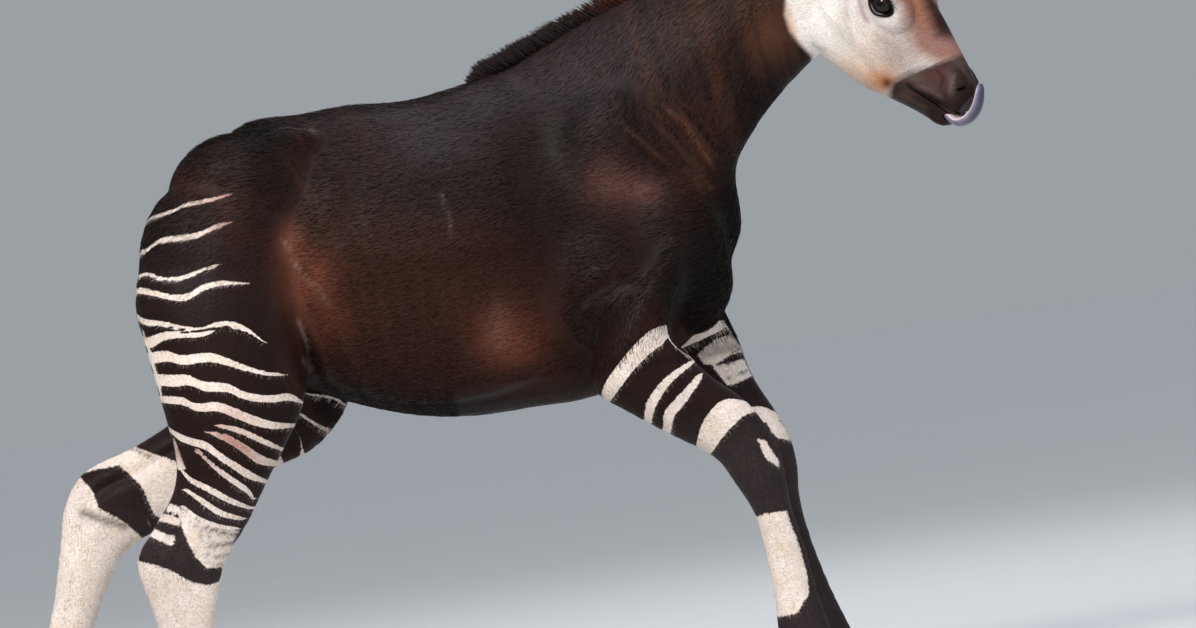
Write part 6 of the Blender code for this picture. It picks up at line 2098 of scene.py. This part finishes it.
def make_tongue(material):
    rows = curve_rows([p + (w, t) for p, w, t in TONGUE], 8)
    rings = []
    edge, outer = [], []
    ring = 28
    last = len(rows) - 1
    for i, row in enumerate(rows):
        place = Vector(row[:3])
        before = Vector(rows[max(i - 1, 0)][:3])
        after = Vector(rows[min(i + 1, last)][:3])
        along = (after - before).normalized()
        side = Vector((0, 1, 0))
        rise = along.cross(side).normalized()
        points = []
        for k in range(ring):
            t = 2 * math.pi * k / ring
            c, s = math.cos(t), math.sin(t)
            thick = row[4] * s
            groove = 0.0016 * math.exp(-(c / 0.22) ** 2) * (1 if s > 0 else 0)
            curl = 0.0022 * c * c
            point = place + side * (row[3] * c) + rise * (thick - groove + curl)
            points.append(tuple(HEAD @ point))
            bent = float(smooth(i / last, 0.10, 0.20)) * (1 - float(smooth(i / last, 0.80, 0.95)))
            edge.append(bent * float(smooth(s, -0.15, 0.25)))
            outer.append(float(smooth(-s, 0.25, 0.90)) * float(smooth(i / last, 0.30, 0.60)))
        rings.append(points)
    verts, faces = loft_mesh(np.array(rings))
    made = object_of("tongue_wet", verts, faces)
    edge += [0.0, 0.0]
    outer += [0.0, 0.0]
    store(made.data, {"edge": np.array(edge), "outer": np.array(outer)})
    for face in made.data.polygons:
        face.use_smooth = True
    made.data.materials.append(material)
    finish_piece(made)
    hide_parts("tongue")


def hoof_material():
    n = Nodes("hoof_horn")
    at = n.place()
    rings = n.noise(n.stretch(at, (30.0, 30.0, 420.0)), 1.0, 3.0, 0.6)
    fine = n.noise(n.stretch(at, (900.0, 900.0, 120.0)), 1.0, 3.0, 0.6)
    colour = n.mix(rings, (0.030, 0.024, 0.021, 1.0), (0.090, 0.072, 0.058, 1.0))
    colour = n.mix(n.math("MULTIPLY", fine, 0.4), colour, (0.15, 0.12, 0.095, 1.0))
    normal = n.bump(rings, 0.0012, 0.5)
    normal = n.bump(fine, 0.0004, 0.4, normal)
    return n.finish(colour, n.ramp(fine, 0.2, 0.8, 0.34, 0.55), normal)


HORIZON = (0.327, 0.351, 0.375, 1.0)
ZENITH = (0.54, 0.58, 0.64, 1.0)


def make_stage():
    floor_mesh = bpy.data.meshes.new("floor")
    work = bmesh.new()
    bmesh.ops.create_circle(work, cap_ends=True, segments=96, radius=60.0)
    work.to_mesh(floor_mesh)
    work.free()
    floor = bpy.data.objects.new("floor", floor_mesh)
    bpy.context.scene.collection.objects.link(floor)
    n = Nodes("floor_pale")
    grain = n.noise(n.place(), 3.0, 4.0, 0.5)
    colour = n.mix(grain, (0.60, 0.60, 0.59, 1.0), (0.63, 0.63, 0.62, 1.0))
    floor_mesh.materials.append(n.finish(colour, 0.9, None, Specular_IOR_Level=0.1))
    world = bpy.data.worlds.new("studio")
    bpy.context.scene.world = world
    world.use_nodes = True
    tree = world.node_tree
    back = tree.nodes["Background"]
    way = tree.nodes.new("ShaderNodeTexCoord")
    parts = tree.nodes.new("ShaderNodeSeparateXYZ")
    tree.links.new(way.outputs["Generated"], parts.inputs[0])
    rise = tree.nodes.new("ShaderNodeMapRange")
    rise.interpolation_type = "SMOOTHSTEP"
    rise.inputs["From Min"].default_value = 0.02
    rise.inputs["From Max"].default_value = 0.55
    tree.links.new(parts.outputs[2], rise.inputs["Value"])
    blend_sky = tree.nodes.new("ShaderNodeMix")
    blend_sky.data_type = "RGBA"
    blend_sky.inputs[6].default_value = HORIZON
    blend_sky.inputs[7].default_value = ZENITH
    tree.links.new(rise.outputs[0], blend_sky.inputs[0])
    tree.links.new(blend_sky.outputs[2], back.inputs[0])
    back.inputs[1].default_value = 1.0
    lamps = [
        ("key", (-1.8, -4.6, 4.4), 1.8, 285.0, (1.0, 0.96, 0.90)),
        ("fill", (3.6, -3.0, 2.0), 2.6, 24.0, (0.92, 0.95, 1.0)),
        ("rim", (0.6, 3.6, 3.8), 2.0, 60.0, (0.88, 0.93, 1.0)),
        ("top", (-0.2, -0.6, 4.8), 1.6, 40.0, (0.82, 0.90, 1.0)),
    ]
    for name, place, size, power, tint in lamps:
        light = bpy.data.lights.new(name, "AREA")
        light.size = size
        light.energy = power
        light.color = tint
        made = bpy.data.objects.new(name, light)
        made.location = place
        made.rotation_euler = (Vector((0, 0, 0.55)) - Vector(place)).to_track_quat("-Z", "Y").to_euler()
        bpy.context.scene.collection.objects.link(made)
    bpy.context.scene.view_settings.view_transform = "Standard"


def make_camera():
    camera = bpy.data.cameras.new("camera")
    made = bpy.data.objects.new("camera", camera)
    bpy.context.scene.collection.objects.link(made)
    camera.sensor_width = SENSOR
    camera.lens = SENSOR * CAMERA_AWAY / (PHOTO_WIDTH * PHOTO_SCALE)
    camera.clip_end = 200.0
    c, s = math.cos(math.radians(CAMERA_ROLL)), math.sin(math.radians(CAMERA_ROLL))
    right, up, back = Vector((c, 0, -s)), Vector((s, 0, c)), Vector((0, -1, 0))
    turn = Matrix((right, up, back)).transposed().to_4x4()
    made.matrix_world = Matrix.Translation(Vector((0, -CAMERA_AWAY, CAMERA_HEIGHT)) + SHIFT) @ turn
    bpy.context.scene.camera = made


def main():
    make_camera()
    make_stage()
    skin = make_skin()
    mesh = skin.data
    store(mesh, markings(points_of(mesh), normals_of(mesh)))
    for face in mesh.polygons:
        face.use_smooth = True
    mesh.materials.clear()
    mesh.materials.append(coat_material("skin_coat", False))
    tufted = coat_material("tuft_coat", True)
    make_coat(mesh, tufted)
    make_mane(tufted)
    make_tail_hair(tufted)
    finish_piece(skin)
    flesh = ["torso", "neck", "head", "lower_jaw", "tail", "ear_right", "ear_left"]
    for leg in ("foreleg_right", "foreleg_left", "hindleg_right", "hindleg_left"):
        flesh += [leg + "_upper", leg + "_lower"]
    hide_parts(*flesh)
    wet = eye_material()
    rim = skin_rim_material()
    for side, word in ((-1, "right"), (1, "left")):
        make_eye(word, side, wet)
        make_lids(word, side, rim)
        make_lashes(word, side, tufted)
    make_tongue(tongue_material())
    horn = hoof_material()
    for name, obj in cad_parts.items():
        if "hoof" in name:
            for place in obj.material_slots:
                place.material = horn


main()
